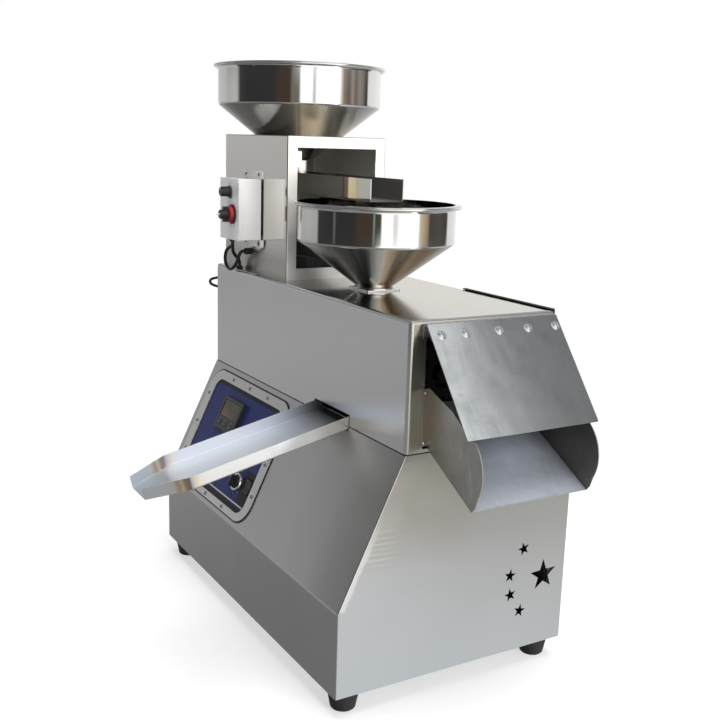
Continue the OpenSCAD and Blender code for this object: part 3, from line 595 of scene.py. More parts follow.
# the angle lists of both cones are painted reflection bands
M_CONE_TOP = cone_steel("cone_top_steel", (0.93, 0.905, 0.85), 0.17, XS, [(-180, 0.69), (-120, 0.43), (-78, 0.345), (-60, 0.42), (-42, 0.55), (-32, 0.70), (-24, (1.0, 0.95, 0.87)), (-6, (1.0, 0.96, 0.90)), (4, 0.67), (18, 0.60), (60, 0.69), (120, 0.6), (180, 0.69)])
M_CONE_LOW = cone_steel("cone_low_steel", (0.97, 0.95, 0.91), 0.19, XF, [(-180, 0.66), (-120, 0.71), (-88, 1.0), (-74, 0.62), (-60, 0.16), (-48, 0.17), (-40, 0.74), (-34, 1.0), (-13, (1.0, 0.99, 0.94)), (-6, (0.70, 0.58, 0.44)), (4, (0.57, 0.42, 0.29)), (16, (0.46, 0.40, 0.32)), (50, (0.58, 0.54, 0.48)), (110, 0.575), (180, 0.66)])
M_SPOUT = sheet_steel("spout_steel", (0.75, 0.745, 0.73), 0.24, streak=0.02, smudge=0.05, rvar=0.04, wave=0.0004, extra=heat_and_painted_sheen, metallic=0.75)
M_SPOUT_IN = sheet_steel("spout_inside", (0.80, 0.845, 0.92), 0.34, streak=0.02, smudge=0.05, rvar=0.05, wave=0.0004, extra=heat_and_painted_root_shade, metallic=0.5)
M_TRAY = sheet_steel("tray_steel", (0.64, 0.63, 0.61), 0.10, streak=0.02, smudge=0.05, rvar=0.03, wave=0.0004, extra=tray_painted_reflection)
M_TRAY_IN = sheet_steel("tray_inside", (0.20, 0.195, 0.18), 0.42, streak=0.04, smudge=0.06, rvar=0.05, wave=0.0004, metallic=0.7)
M_ZINC = zinc("zinc_sheet", (0.52, 0.54, 0.56), 0.36)
M_CHUTE = zinc("chute_zinc", (0.56, 0.60, 0.68), 0.40, spangle=0.05, wave=0.0008, metallic=0.55)
M_CHUTE_IN = zinc("chute_inside", (0.24, 0.225, 0.205), 0.42, spangle=0.05, wave=0.0006)
# dark copy of the zinc for the flap's underside: painted shade
M_FLAP_SHADED = zinc("flap_underside_painted_shade", (0.12, 0.115, 0.10), 0.44, spangle=0.05, wave=0.0006)
M_CHEEK = zinc("cheek_zinc", (0.47, 0.465, 0.44), 0.32, spangle=0.05, wave=0.0008, extra=stained_cheek)
M_FLAP = zinc("flap_zinc", (0.58, 0.605, 0.61), 0.12, spangle=0.0, wave=0.0006, rvar=0.05, extra=worn_flap)
M_STUD = turned_steel("stud_steel", (0.60, 0.615, 0.62), 0.20)
M_FLANGE = sheet_steel("flange_steel", (0.44, 0.37, 0.29), 0.34, streak=0.05, smudge=0.10, rvar=0.06, wave=0.0004)
M_EAR = plain("ear_plate", (0.95, 0.95, 0.94), 0.40, vary=0.05, scale=60, bump=0.02)
M_DARK = turned_steel("dark_screw", (0.10, 0.10, 0.10), 0.34)
# near-black finish for the spacer behind the control box: painted shade in the gap
M_GAP_SHADE = plain("gap_painted_shade", (0.030, 0.022, 0.016), 0.6, vary=0.2, scale=60, bump=0.05)
M_BOX = sheet_steel("box_aluminium", (0.97, 0.95, 0.925), 0.26, streak=0.03, smudge=0.04, rvar=0.02, wave=0.0003, grain=0.01, metallic=0.22)
M_COVER = sheet_steel("cover_aluminium", (0.97, 0.97, 0.97), 0.40, streak=0.03, smudge=0.04, rvar=0.02, wave=0.0003, grain=0.01, metallic=0.18)
M_BRIGHT = turned_steel("bright_ring", (0.86, 0.86, 0.85), 0.10)
M_SCREW = turned_steel("screw_steel", (0.60, 0.59, 0.57), 0.24)
M_MACH = turned_steel("machined_steel", (0.50, 0.50, 0.50), 0.28)
M_WORM = turned_steel("worm_steel", (0.022, 0.021, 0.020), 0.60)
M_PRESS = plain("press_black", (0.010, 0.010, 0.009), 0.8, vary=0.25, scale=90, bump=0.2, Specular_IOR_Level=0.12)
M_CAST = plain("cast_iron", (0.09, 0.09, 0.095), 0.62, vary=0.25, scale=90, bump=0.25, Metallic=0.35)
M_MOTOR = plain("motor_paint", (0.06, 0.10, 0.17), 0.42, vary=0.18, scale=70, bump=0.12)
M_BRASS = turned_steel("heater_brass", (0.62, 0.46, 0.22), 0.30)
M_RUBBER = plain("black_rubber", (0.018, 0.018, 0.019), 0.62, vary=0.3, scale=120, bump=0.12)
M_LEAD = plain("lead_sheath", (0.012, 0.012, 0.013), 0.42, vary=0.3, scale=90, bump=0.05)
M_PLASTIC = plain("black_plastic", (0.016, 0.016, 0.018), 0.34, vary=0.25, scale=140, bump=0.05)
M_GREY = plain("grey_plastic", (0.16, 0.17, 0.17), 0.45, vary=0.12, scale=140, bump=0.05)
M_KEY = plain("key_plastic", (0.040, 0.042, 0.040), 0.45, vary=0.15, scale=140, bump=0.05)
M_RED = plain("red_plastic", (0.30, 0.016, 0.024), 0.34, vary=0.18, scale=60, bump=0.04)
M_BLUE = plain("blue_plate", (0.016, 0.023, 0.110), 0.30, vary=0.22, scale=18, bump=0.02, Specular_IOR_Level=0.16)
M_BLACKPLATE = plain("black_plate", (0.008, 0.008, 0.012), 0.32, vary=0.3, scale=24, bump=0.02, Specular_IOR_Level=0.18)
M_WHITE = plain("white_print", (0.72, 0.73, 0.72), 0.45, vary=0.06, scale=60, bump=0.02)
M_GREEN = plain("green_print", (0.05, 0.30, 0.24), 0.40, vary=0.12, scale=60, bump=0.02)


# ------------------------------------------------------------------ leads
def smooth_route(p, k=6):
    p = [Vector(q) for q in p]
    n = len(p)
    out = []
    for i in range(n - 1):
        a, b, c, d = p[max(i - 1, 0)], p[i], p[i + 1], p[min(i + 2, n - 1)]
        for j in range(k):
            u = j / k
            out.append(0.5 * (2 * b + (c - a) * u + (2 * a - 5 * b + 4 * c - d) * u * u + (3 * b - a - 3 * c + d) * u**3))
    out.append(p[-1])
    return [row(*q) for q in out]


def lead(name, route, node, r):
    pts = smooth_route(route)
    c = bpy.data.curves.new(name, "CURVE")
    c.dimensions = "3D"
    c.bevel_depth, c.bevel_resolution, c.use_fill_caps = r / 1000, 6, True
    s = c.splines.new("POLY")
    s.points.add(len(pts) - 1)
    for q, v in zip(s.points, pts):
        q.co = (*v, 1)
    s.use_smooth = True
    o = bpy.data.objects.new(name, c)
    SCENE.collection.objects.link(o)
    c.materials.append(M_LEAD)
    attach(o, "cabinet")
    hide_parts(node)


lead(
    "coil_lead_run",
    [(130, 131, 702), (130, 125, 702), (129.5, 119.5, 696), (125, 116, 681), (114, 113, 667), (100, 111, 661), (85, 110, 664), (75, 110, 673), (73, 110, 686), (80, 110, 699), (93, 111, 707), (103, 112, 711), (108, 112, 717), (108, 112, 724)],
    "coil_lead", 3.5,
)
lead(
    "supply_lead_run",
    [(128, 104, 724), (128, 104, 716), (126, 105, 708), (121, 109, 699), (113, 118, 690), (107, 127, 682), (105, 130, 675), (105, 130, 668)],
    "supply_lead", 3.5,
)
lead(
    "bond_lead_run",
    [(-8, 140, 604), (-16, 139, 604), (-27, 131, 605), (-35, 122, 609), (-37, 119, 615), (-34, 122, 621), (-25, 132, 625), (-15, 144, 630), (-10, 157, 639), (-10, 170, 651), (-12, 184, 665), (-17, 199, 678), (-23, 214, 688), (-25, 227, 695), (-21, 236, 699), (-14, 240, 700), (-6, 240, 700)],
    "bond_lead", 3.0,
)


# ------------------------------------------------------------------ lower cabinet
def star(y, z, r, a):
    return [(y + k * math.cos(q), z + k * math.sin(q)) for k, q in ((r if i % 2 == 0 else r * 0.4, math.radians(a + 90 + i * 36)) for i in range(10))]


def build_cabinet():
    bm = bmesh.new()
    prism(bm, [(0, 0, Z0), (0, 0, ZF), (0, Y0, ZT), (0, D, ZT), (0, D, Z0)], (L, 0, 0))

    def front(e):
        a, b = (v.co for v in e.verts)
        m = (a + b) / 2
        along = abs(a.x - b.x) > 1
        if along:
            return abs(m.z - ZF) < 1 and m.y < 1
        return m.y < Y0 - 1 and abs(m.z - Z0) > 1

    soften(bm, 2.2, 5, 10, front)
    drop = [f for f in bm.faces if f.normal.z > 0.95 or f.normal.z < -0.95 or f.normal.y > 0.95]
    bmesh.ops.delete(bm, geom=drop, context="FACES")
    o = thicken(raw("cabinet_wrap", bm), 2.0, [M_BODY, M_INNER])
    tools = []
    tools.append(tool(lambda b: move(b, block(b, (47.5, 21.5, -12), (389, 253.5, 12)), SLOPE)))
    tools.append(tool(lambda b: block(b, (XSP - 67, Y0 - 40, ZT - 6.5), (XSP + 67, Y0 + 40, ZT + 10))))
    for s in ((436, 166, 31, 2), (386, 226, 13.5, 14), (358, 179, 13.5, -8), (361, 141, 13.5, 10), (385, 105, 13.5, -12)):
        tools.append(tool(lambda b, s=s: prism(b, [(L - 12, y, z) for y, z in star(*s)], (24, 0, 0))))
    for i in range(8):
        tools.append(tool(lambda b, i=i: prism(b, [(-8, y, z) for y, z in fillet(rect(250, 90 + i * 16, 430, 96 + i * 16), 2.9, 4)], (20, 0, 0))))
    cut(o, tools)
    piece(o, [M_BODY, M_INNER], "cabinet", ("front_panel", "left_end_panel", "right_end_panel"))


build_cabinet()


def build_feet():
    bm = bmesh.new()
    for x in (35, L - 35):
        for y in (35, D - 35):
            f = lathe(bm, [(0, -8), (17, -8), (20.2, -7.2), (21.8, -5.6), (22.6, -3.4), (27.2, 21), (28.4, 23.5), (29, 26.5), (29, 30), (0, 30)], 40, closed=False)
            move(bm, f, Matrix.Translation((x, y, 0)))
    piece(("rubber_feet", bm), M_RUBBER, "cabinet", ("feet",), weighted=False)


build_feet()


# ------------------------------------------------------------------ hood
def build_hood():
    bm = bmesh.new()
    block(bm, (0, Y0, ZT + 2.2), (L, Y1, ZH))
    soften(bm, 7, 6, 30, lambda e: max(v.co.z for v in e.verts) > ZT + 20)
    bmesh.ops.delete(bm, geom=[f for f in bm.faces if f.normal.z < -0.95], context="FACES")
    o = thicken(raw("hood", bm), 2.0, [M_HOOD, M_INNER])

    def bore(b, r, m, h=30):
        move(b, lathe(b, [(0, -h), (r, -h), (r, h), (0, h)], 48, closed=False), m)

    ax = Matrix.Translation((0, 140, 604)) @ Matrix.Rotation(math.radians(90), 4, "Y")
    tools = [
        tool(lambda b: prism(b, [(L - 12, y, z) for y, z in fillet(rect(152, 446, 412, 636), 3, 4)], (30, 0, 0))),
        tool(lambda b: block(b, (XSP - 67, Y0 - 12, ZT - 5), (XSP + 67, Y0 + 12, ZT + 23.5))),
        tool(lambda b: bore(b, 37.5, Matrix.Translation((XF, YC, ZH)))),
        tool(lambda b: bore(b, 4.5, Matrix.Translation((105, 130, ZH)))),
        tool(lambda b: bore(b, 4.5, ax, 12)),
    ]
    cut(o, tools)
    piece(o, [M_HOOD, M_INNER], "cabinet", ("hood_shell", "hood_right_end"))

    # dark joint strip between hood and cabinet
    bm = bmesh.new()
    for a, b in (((2, Y0 + 2, ZT), (XSP - 68.5, Y0 + 5, ZT + 3)), ((XSP + 68.5, Y0 + 2, ZT), (L - 2, Y0 + 5, ZT + 3)), ((L - 5, Y0 + 5, ZT), (L - 2, Y1 - 2, ZT + 3)), ((2, Y0 + 5, ZT), (5, Y1 - 2, ZT + 3)), ((2, Y1 - 5, ZT), (L - 2, Y1 - 2, ZT + 3))):
        block(bm, a, b)
    piece(("hood_seal", bm), M_RUBBER, "cabinet", ())

    bm = bmesh.new()
    pts = fillet([(Y1, ZH - 14), (Y1 + 5, ZH - 14), (Y1 + 5, ZH + 2.8), (Y1 - 5, ZH + 2.8), (Y1 - 5, ZH + 0.6), (Y1, ZH + 0.6)], [0.5, 1.5, 3, 1.2, 0.8, 0.5], 4)
    prism(bm, [(536, y, z) for y, z in pts], (L - 6 - 536, 0, 0))
    piece(("hood_edge_trim", bm), M_RUBBER, "cabinet", ("rear_edge_trim",))


build_hood()


# ------------------------------------------------------------------ cake outlet
def chute_z(x):
    return ZT + 11 - (x - L) * 0.534


def build_chute():
    cx, cz, R = L + 85, ZT + 2, 69.5
    a, b = Vector((L + 68, ZT + 89)), Vector((L + 105, ZT + 66))
    lo, hi = 0.0, 1.0
    for _ in range(40):
        m = (lo + hi) / 2
        if (a.lerp(b, m) - Vector((cx, cz))).length > R:
            lo = m
        else:
            hi = m
    p = a.lerp(b, lo)
    q0 = math.atan2(p.y - cz, p.x - cx)
    q1 = math.asin((ZT - 32.1 - cz) / R)
    arc = [(cx + R * math.cos(q0 + (q1 - q0) * i / 30), cz + R * math.sin(q0 + (q1 - q0) * i / 30)) for i in range(31)]
    out = [(L - 85, chute_z(L - 85)), (L - 85, ZT + 118), (L, ZT + 113), (L + 34, ZT + 100), (L + 68, ZT + 89)] + arc
    out += [(L + 139, ZT - 50), (L + 131, chute_z(L + 131)), (L, chute_z(L))]
    bm = bmesh.new()
    for y, k in ((160, 1), (398, 0)):
        prism(bm, [(x, y, z) for x, z in out], (0, 2, 0))[k].material_index = 4
    t = 2.2
    prism(bm, [(x, 162, z) for x, z in ((L - 85, chute_z(L - 85)), (L + 131, chute_z(L + 131)), (L + 131.9, chute_z(L + 131) + t), (L - 84, chute_z(L - 85) + t))], (0, 236, 0), 3)
    # turned flanges on the hood's end, each held by two small screws
    block(bm, (L + 0.2, 148, ZT + 13), (L + 1.7, 160.5, ZT + 111), 1)
    block(bm, (L + 0.2, 399.5, ZT + 13), (L + 1.7, 416, ZT + 111), 1)
    soften(bm, 0.6, 2, 40)
    for y in (154, 408):
        for z in (ZT + 19, ZT + 104):
            f = lathe(bm, [(0, 1.6), (1.6, 1.5), (2.8, 0.9), (3.1, 0), (0, 0)], 20, closed=False, mat=2)
            move(bm, f, Matrix.Translation((L + 1.7, y, z)) @ Matrix.Rotation(math.radians(90), 4, "Y"))
    piece(("chute", bm), [M_CHEEK, M_FLANGE, M_SCREW, M_CHUTE, M_CHUTE_IN], "cabinet", ("cake_chute",))


build_chute()


def build_flap():
    bm = bmesh.new()
    pts = fillet(rect(0, -FLAP_L, FLAP_W, -1), [3, 3, 1.5, 1.5], 4)
    for f in prism(bm, [(3.4, y, z) for y, z in pts], (1.5, 0, 0)):
        # the underside takes the dark zinc: painted shade
        f.material_index = 1 if f.normal.x < -0.9 else 0
    soften(bm, 0.5, 2, 40)
    bmesh.ops.transform(bm, matrix=SWUNG, verts=bm.verts)
    piece(("flap_sheet", bm), [M_FLAP, M_FLAP_SHADED], "flap", ("flap_plate",))

    bm = bmesh.new()
    for y in (20, 68, 137, 198, 258):
        f = lathe(bm, [(0, 2.6), (1.2, 2.52), (2.4, 2.3), (3.6, 1.9), (4.8, 1.38), (5.9, 0.85), (6.9, 0.42), (7.8, 0.14), (8.6, 0.02), (8.6, -0.4), (0, -0.4)], 40, closed=False)
        move(bm, f, SWUNG @ Matrix.Translation((4.9, y, -22)) @ Matrix.Rotation(math.radians(90), 4, "Y"))
    piece(("flap_studs", bm), M_STUD, "flap", ("flap_rivets",), weighted=False)


build_flap()


# ------------------------------------------------------------------ oil spout
def build_spout():
    w, t, e, n, v = 65.0, 1.5, -304.0, -376.0, 34.0
    bm = bmesh.new()
    rings = []
    # U-shaped channel with rounded bends, then a tapered end welded to it
    for y, k, h in ((32.0, w, 24.0), (-60.0, w, 24.0), (-180.0, w, 24.0), (e + 0.6, w, 24.0), (e, w + 0.35, 24.2), (e - 0.6, w - 0.2, 24.0), (e - 24, w + (v - w) / 3, 23.4), (e - 48, w + (v - w) * 2 / 3, 22.7), (n, v, 22.0)):
        outer = fillet([(-k, h), (-k, 0), (k, 0), (k, h)], [0, 3.5, 3.5, 0], 5)
        inner = fillet([(-k + t, h), (-k + t, t), (k - t, t), (k - t, h)], [0, 2, 2, 0], 5)
        rings.append([bm.verts.new((x, y, z)) for x, z in outer + inner[::-1]])
    k = len(rings[0])
    half = k // 2
    for a, b in zip(rings, rings[1:]):
        for i in range(k):
            j = (i + 1) % k
            f = bm.faces.new((a[i], a[j], b[j], b[i]))
            f.material_index = 1 if half <= i < k - 1 else 0
    for ring in (rings[0], rings[-1]):
        for i in range(half - 1):
            bm.faces.new((ring[i], ring[i + 1], ring[k - 2 - i], ring[k - 1 - i]))
    bmesh.ops.recalc_face_normals(bm, faces=bm.faces)
    bmesh.ops.transform(bm, matrix=SPOUT, verts=bm.verts)
    piece(("spout", bm), [M_SPOUT, M_SPOUT_IN], "cabinet", ("oil_spout",), deg=50)


build_spout()


# ------------------------------------------------------------------ feed funnel
def build_funnel():
    z1, z2, z3, R = ZH + 7, ZH + 92, ZH + 165, 150.0
    t = 1.5
    outer = [(31.5, ZH - 22), (31.5, ZH + 3), (40, ZH + 3), (40, ZH + 5), (35.5, z1), (R, z2), (R, z3 - 4.5)]
    outer = outer[:4] + fillet([(20, ZH + 5), (35.5, z1), (R, z2), (R, z3 + 60)], [0, 4, 6, 0], 8)[1:-1] + [(R, z2 + 7), (R, z2 + 30), (R, z3 - 12), (R, z3 - 4.5)]
    bead = [(R + 8.0 + 3.5 * math.cos(q), z3 - 3.5 + 3.5 * math.sin(q)) for q in (math.radians(200 + i * 25) for i in range(11))]
    inner = [(R - t, z3)] + fillet([(R - t, z3 + 60), (R - t, z2 + 0.7), (33.5, z1), (33.5, ZH - 60)], [0, 7, 3, 0], 6)[1:-1] + [(30, ZH - 2), (30, ZH - 22)]
    bm = bmesh.new()
    f = lathe(bm, outer + [(R + 2.5, z3 - 2)] + bead + [(R + 2.0, z3)] + inner, 160)
    for q in f:
        q.material_index = 1 if z1 < q.calc_center_median().z < z2 - 1 else 0
    move(bm, f, Matrix.Translation((XF, YC, 0)))
    piece(("funnel", bm), [M_BOWL, M_CONE_LOW], "cabinet", ("feed_hopper",), deg=50)

    bm = bmesh.new()
    pts = fillet(rect(XF - 37, YC - 37, XF + 37, YC + 37), 3, 4)
    prism(bm, [(x, y, ZH) for x, y in pts], (0, 0, 3))
    soften(bm, 0.5, 2, 60)
    o = raw("throat", bm)
    cut(o, [tool(lambda b: move(b, lathe(b, [(0, -20), (33, -20), (33, 20), (0, 20)], 48, closed=False), Matrix.Translation((XF, YC, ZH))))])
    bm = bmesh.new()
    bm.from_mesh(o.data)
    move(bm, lathe(bm, [(33, 597), (37, 597), (37, ZH), (33, ZH)], 48), Matrix.Translation((XF, YC, 0)))
    bm.to_mesh(o.data)
    bm.free()
    piece(o, M_TRAY, "cabinet", ("feed_throat",))


build_funnel()


# ------------------------------------------------------------------ feeder stand
def build_tower():
    x0, x1, y0, y1 = 2.0, 311.0, 141.0, 366.0
    bm = bmesh.new()
    block(bm, (x0, y0, ZH), (x1, y1, ZTOW))
    soften(bm, 2.5, 5, 30, lambda e: max(v.co.z for v in e.verts) > ZH + 20)
    bmesh.ops.delete(bm, geom=[f for f in bm.faces if f.normal.z < -0.95], context="FACES")
    o = thicken(raw("stand", bm), 2.0, [M_TOWER, M_STAND_IN_LIT])
    hole = [(163, 685), (343, 685), (343, 924), (163, 924), (163, 917), (172, 917), (172, 887), (163, 887)]
    ax = Matrix.Translation((0, 240, 700)) @ Matrix.Rotation(math.radians(90), 4, "Y")
    tools = [
        tool(lambda b: prism(b, [(x1 - 12, y, z) for y, z in hole], (24, 0, 0))),
        tool(lambda b: move(b, lathe(b, [(0, -20), (94.2, -20), (94.2, 20), (0, 20)], 96, closed=False), Matrix.Translation((XS, YC, ZTOW)))),
        tool(lambda b: move(b, lathe(b, [(0, -12), (4.5, -12), (4.5, 12), (0, 12)], 24, closed=False), ax)),
        tool(lambda b: move(b, lathe(b, [(0, -12), (4.5, -12), (4.5, 12), (0, 12)], 24, closed=False), facing(130, y0, 702))),
    ]
    # the stand's right side takes the pale copy of its steel: painted light
    o.data.materials.append(M_TOWER_SIDE_LIT)
    cut(o, tools)
    for f in o.data.polygons:
        if f.normal.x > 0.9 and f.center.x > (x1 - 1.0 - OX) / 1000:
            f.material_index = 2
    piece(o, [M_TOWER, M_STAND_IN_LIT, M_TOWER_SIDE_LIT], "cabinet", ("feeder_tower",))


build_tower()


def build_tray():
    a, b, t = YC - 36, YC + 36, 1.5
    bm = bmesh.new()
    outer = fillet([(a, 872), (a, 829), (b, 829), (b, 872)], [0, 4, 4, 0], 5)
    inner = fillet([(a + t, 872), (a + t, 829 + t), (b - t, 829 + t), (b - t, 872)], [0, 2.5, 2.5, 0], 5)
    sec = outer + inner[::-1]
    k = len(sec)
    rings = [[bm.verts.new((x, y, z)) for y, z in sec] for x in (45.0, 505.0)]
    for i in range(k):
        j = (i + 1) % k
        f = bm.faces.new((rings[0][i], rings[0][j], rings[1][j], rings[1][i]))
        f.material_index = 1 if k // 2 <= i < k - 1 else 0
    for ring in rings:
        for i in range(k // 2 - 1):
            bm.faces.new((ring[i], ring[i + 1], ring[k - 2 - i], ring[k - 1 - i]))
    bmesh.ops.recalc_face_normals(bm, faces=bm.faces)
    block(bm, (45, a + t, 831), (46.5, b - t, 872))
    block(bm, (125, YC - 26, 805), (262, YC - 22, 829))
    block(bm, (125, YC + 22, 805), (262, YC + 26, 829))
    block(bm, (190, YC - 20, 755), (196, YC + 20, 829))
    piece(("tray", bm), [M_TRAY, M_TRAY_IN], "tray", ("feeder_tray",), deg=30)


build_tray()


def build_supply_hopper():
    R, z1, z2, k, t = 172.0, ZTOW + 61, ZTOW + 142, 1.283, 1.5
    zn = z1 - (R - 31.5) / k
    outer = [(31.5, 866)] + fillet([(31.5, 800), (31.5, zn), (R, z1), (R, z2 + 60)], [0, 6, 6, 0], 8)[1:-1] + [(R, z1 + 7), (R, z1 + 30), (R, z2 - 12), (R, z2 - 4.5), (R + 2.5, z2 - 2)]
    bead = [(R + 6.2 + 3.6 * math.cos(q), z2 - 3.6 + 3.6 * math.sin(q)) for q in (math.radians(200 + i * 25) for i in range(11))]
    inner = [(R + 2.0, z2), (R - t, z2)] + fillet([(R - t, z2 + 60), (R - t, z1 + 0.7), (30, zn + 0.7), (30, 800)], [0, 7, 5, 0], 6)[1:-1] + [(30, 866)]
    bm = bmesh.new()
    f = lathe(bm, outer + bead + inner, 176)
    for q in f:
        q.material_index = 1 if q.calc_center_median().z < z1 - 1 else 0
    move(bm, f, Matrix.Translation((XS, YC, 0)))
    piece(("supply_bowl", bm), [M_BOWL, M_CONE_TOP], "supply_hopper", ("upper_hopper",), deg=50)


build_supply_hopper()


# ------------------------------------------------------------------ feeder control box
def build_box():
    bm = bmesh.new()
    block(bm, (99, 90.4, 731), (196, 138, 857))
    soften(bm, 2, 4, 30, lambda e: min(v.co.y for v in e.verts) < 137 and not all(v.co.y < 91 for v in e.verts))
    bmesh.ops.delete(bm, geom=[f for f in bm.faces if f.normal.y < -0.95], context="FACES")
    o = thicken(raw("control_box", bm), 2.0)

    def bore(b, r, m):
        move(b, lathe(b, [(0, -12), (r, -12), (r, 12), (0, 12)], 24, closed=False), m)

    cut(o, [tool(lambda b: bore(b, 4.5, Matrix.Translation((108, 112, 731)))), tool(lambda b: bore(b, 4.5, Matrix.Translation((128, 104, 731))))])
    bm = bmesh.new()
    bm.from_mesh(o.data)
    # spacer strip in near-black: painted shade in the gap between box and ear plate
    block(bm, (106, 138, 738), (189, 139, 850), 1)
    pts = [(104, 715), (200, 715), (200, 731), (140, 733), (140, 855), (200, 857), (200, 874), (104, 874)]
    prism(bm, [(x, 139, z) for x, z in fillet(pts, [4, 4, 1.5, 1.5, 1.5, 1.5, 4, 4], 5)], (0, 2, 0), 2)
    bm.to_mesh(o.data)
    bm.free()
    piece(o, [M_BOX, M_GAP_SHADE, M_EAR], "cabinet", ("box_case",))

    bm = bmesh.new()
    pts = fillet(rect(98.4, 730.4, 196.6, 857.6), 2.2, 4)
    prism(bm, [(x, 88, z) for x, z in pts], (0, 2.2, 0))
    soften(bm, 0.7, 3, 50)
    for x, z in ((104, 737), (191, 737), (104, 851), (191, 851)):
        f = lathe(bm, [(0, 1.3), (1.4, 1.2), (2.5, 0.7), (2.8, 0), (0, 0)], 20, closed=False)
        move(bm, f, facing(x, 88, z))
    piece(("control_cover", bm), M_COVER, "cabinet", ("box_cover",))

    # dial ring, half pale and half green, with short ticks
    bm = bmesh.new()
    for a0, a1, mat in ((-40, 120, 0), (120, 220, 0), (220, 320, 1)):
        k = 18
        pts = [(15.5 * math.cos(math.radians(a0 + (a1 - a0) * i / k)), 15.5 * math.sin(math.radians(a0 + (a1 - a0) * i / k)), 0) for i in range(k + 1)]
        pts += [(10 * math.cos(math.radians(a1 + (a0 - a1) * i / k)), 10 * math.sin(math.radians(a1 + (a0 - a1) * i / k)), 0) for i in range(k + 1)]
        move(bm, prism(bm, pts, (0, 0, 0.4), mat), facing(153, 88, 830))
    for i in range(11):
        q = math.radians(-45 + 27 * i)
        f = block(bm, (17, -0.4, 0), (19.5, 0.4, 0.25), 2)
        move(bm, f, facing(153, 88, 830) @ Matrix.Rotation(q, 4, "Z"))
    f = block(bm, (-14, -25.5, 0), (-4, -24.6, 0.25), 2)
    move(bm, f, facing(163, 88, 784))
    f = block(bm, (4, -25.5, 0), (14, -24.6, 0.25), 2)
    move(bm, f, facing(163, 88, 784))
    piece(("dial_print", bm), [M_WHITE, M_GREEN, M_GREY], "cabinet", ())

    # knob with a fluted grip
    bm = bmesh.new()
    seg = 72
    prof = [(0.0, -8), (3, -8), (3, 2), (11.4, 2), (11.8, 2.6), (11.6, 5.2), (10.6, 5.8), (10.2, 20.4), (9.4, 22.4), (7.6, 23), (6.8, 22.4), (0, 22.2)]
    f = lathe(bm, prof, seg, closed=False)
    for v in bm.verts:
        r = math.hypot(v.co.x, v.co.y)
        if v.co.z > 5.5 and r > 9:
            q = math.atan2(v.co.y, v.co.x)
            s = 1 - 0.035 * (0.5 + 0.5 * math.cos(18 * q))
            v.co.x *= s
            v.co.y *= s
    move(bm, f, facing(153, 88, 830))
    f = block(bm, (-0.8, 2.5, 22.0), (0.8, 9.2, 23.1), 1)
    move(bm, f, facing(153, 88, 830))
    piece(("dial_knob", bm), [M_PLASTIC, M_WHITE], "feeder_dial", ("feeder_knob",))

    # mushroom switch: black base ring, red collar
    bm = bmesh.new()
    f = lathe(bm, [(4.05, 0), (20.5, 0), (20.5, 2.6), (19.6, 3.8), (18, 4.2), (4.05, 4.2)], 56, mat=1)
    f += lathe(bm, [(4.05, 4.0), (17.4, 4.0), (17.6, 5.2), (16.6, 9.4), (15.2, 10.8), (13.6, 11.2), (4.05, 11.2)], 56)
    move(bm, f, facing(163, 88, 784))
    piece(("switch_collar", bm), [M_RED, M_PLASTIC], "cabinet", ("switch_plate",))

    bm = bmesh.new()
    f = lathe(bm, [(0, -8), (4, -8), (4, 11.6), (9, 11.6), (9.6, 12.2), (9.6, 27), (8.8, 28.3), (7, 28.5), (0, 28.5)], 40, closed=False)
    pts = fillet(rect(-3, -16, 3, 16), 2.4, 5)
    f += prism(bm, [(x, y, 11.6) for x, y in pts], (0, 0, 10))
    f += lathe(bm, [(0, 28), (1.5, 28), (1.5, 36.2), (1.1, 37), (0, 37)], 16, closed=False, mat=1)
    move(bm, f, facing(163, 88, 784))
    piece(("switch_grip", bm), [M_PLASTIC, M_WHITE], "feeder_switch", ("switch_handle",))


build_box()


def bush(bm, h, m):
    f = lathe(bm, [(2.9, h), (5.6, h), (6.6, h - 0.7), (7, h - 2), (7, 0), (4.4, 0), (4.4, -4), (2.9, -4)], 32)
    move(bm, f, m)


def build_grommets():
    bm = bmesh.new()
    down = Matrix.Rotation(math.radians(180), 4, "X")
    left = Matrix.Rotation(math.radians(-90), 4, "Y")
    bush(bm, 10, facing(130, 141, 702))
    bush(bm, 7, Matrix.Translation((108, 112, 731)) @ down)
    bush(bm, 7, Matrix.Translation((128, 104, 731)) @ down)
    bush(bm, 6, Matrix.Translation((105, 130, ZH)))
    bush(bm, 8, Matrix.Translation((0, 140, 604)) @ left)
    bush(bm, 8, Matrix.Translation((2, 240, 700)) @ left)
    piece(("lead_bushes", bm), M_RUBBER, "cabinet", ("grommets",), weighted=False)


build_grommets()


# ------------------------------------------------------------------ control panel
def ring_plate(bm, outer, inner, z, h, mat=0):
    """A flat plate with a window; both outlines have the same number of points."""
    n = len(outer)
    lev = []
    for zz in (z, z + h):
        lev.append(([bm.verts.new((x, y, zz)) for x, y in outer], [bm.verts.new((x, y, zz)) for x, y in inner]))
    faces = []
    for i in range(n):
        j = (i + 1) % n
        (o0, i0), (o1, i1) = lev
        faces.append(bm.faces.new((o0[i], o0[j], o1[j], o1[i])))
        faces.append(bm.faces.new((i0[j], i0[i], i1[i], i1[j])))
        faces.append(bm.faces.new((o1[i], o1[j], i1[j], i1[i])))
        faces.append(bm.faces.new((o0[j], o0[i], i0[i], i0[j])))
    bmesh.ops.recalc_face_normals(bm, faces=faces)
    for f in faces:
        f.material_index = mat
    return faces


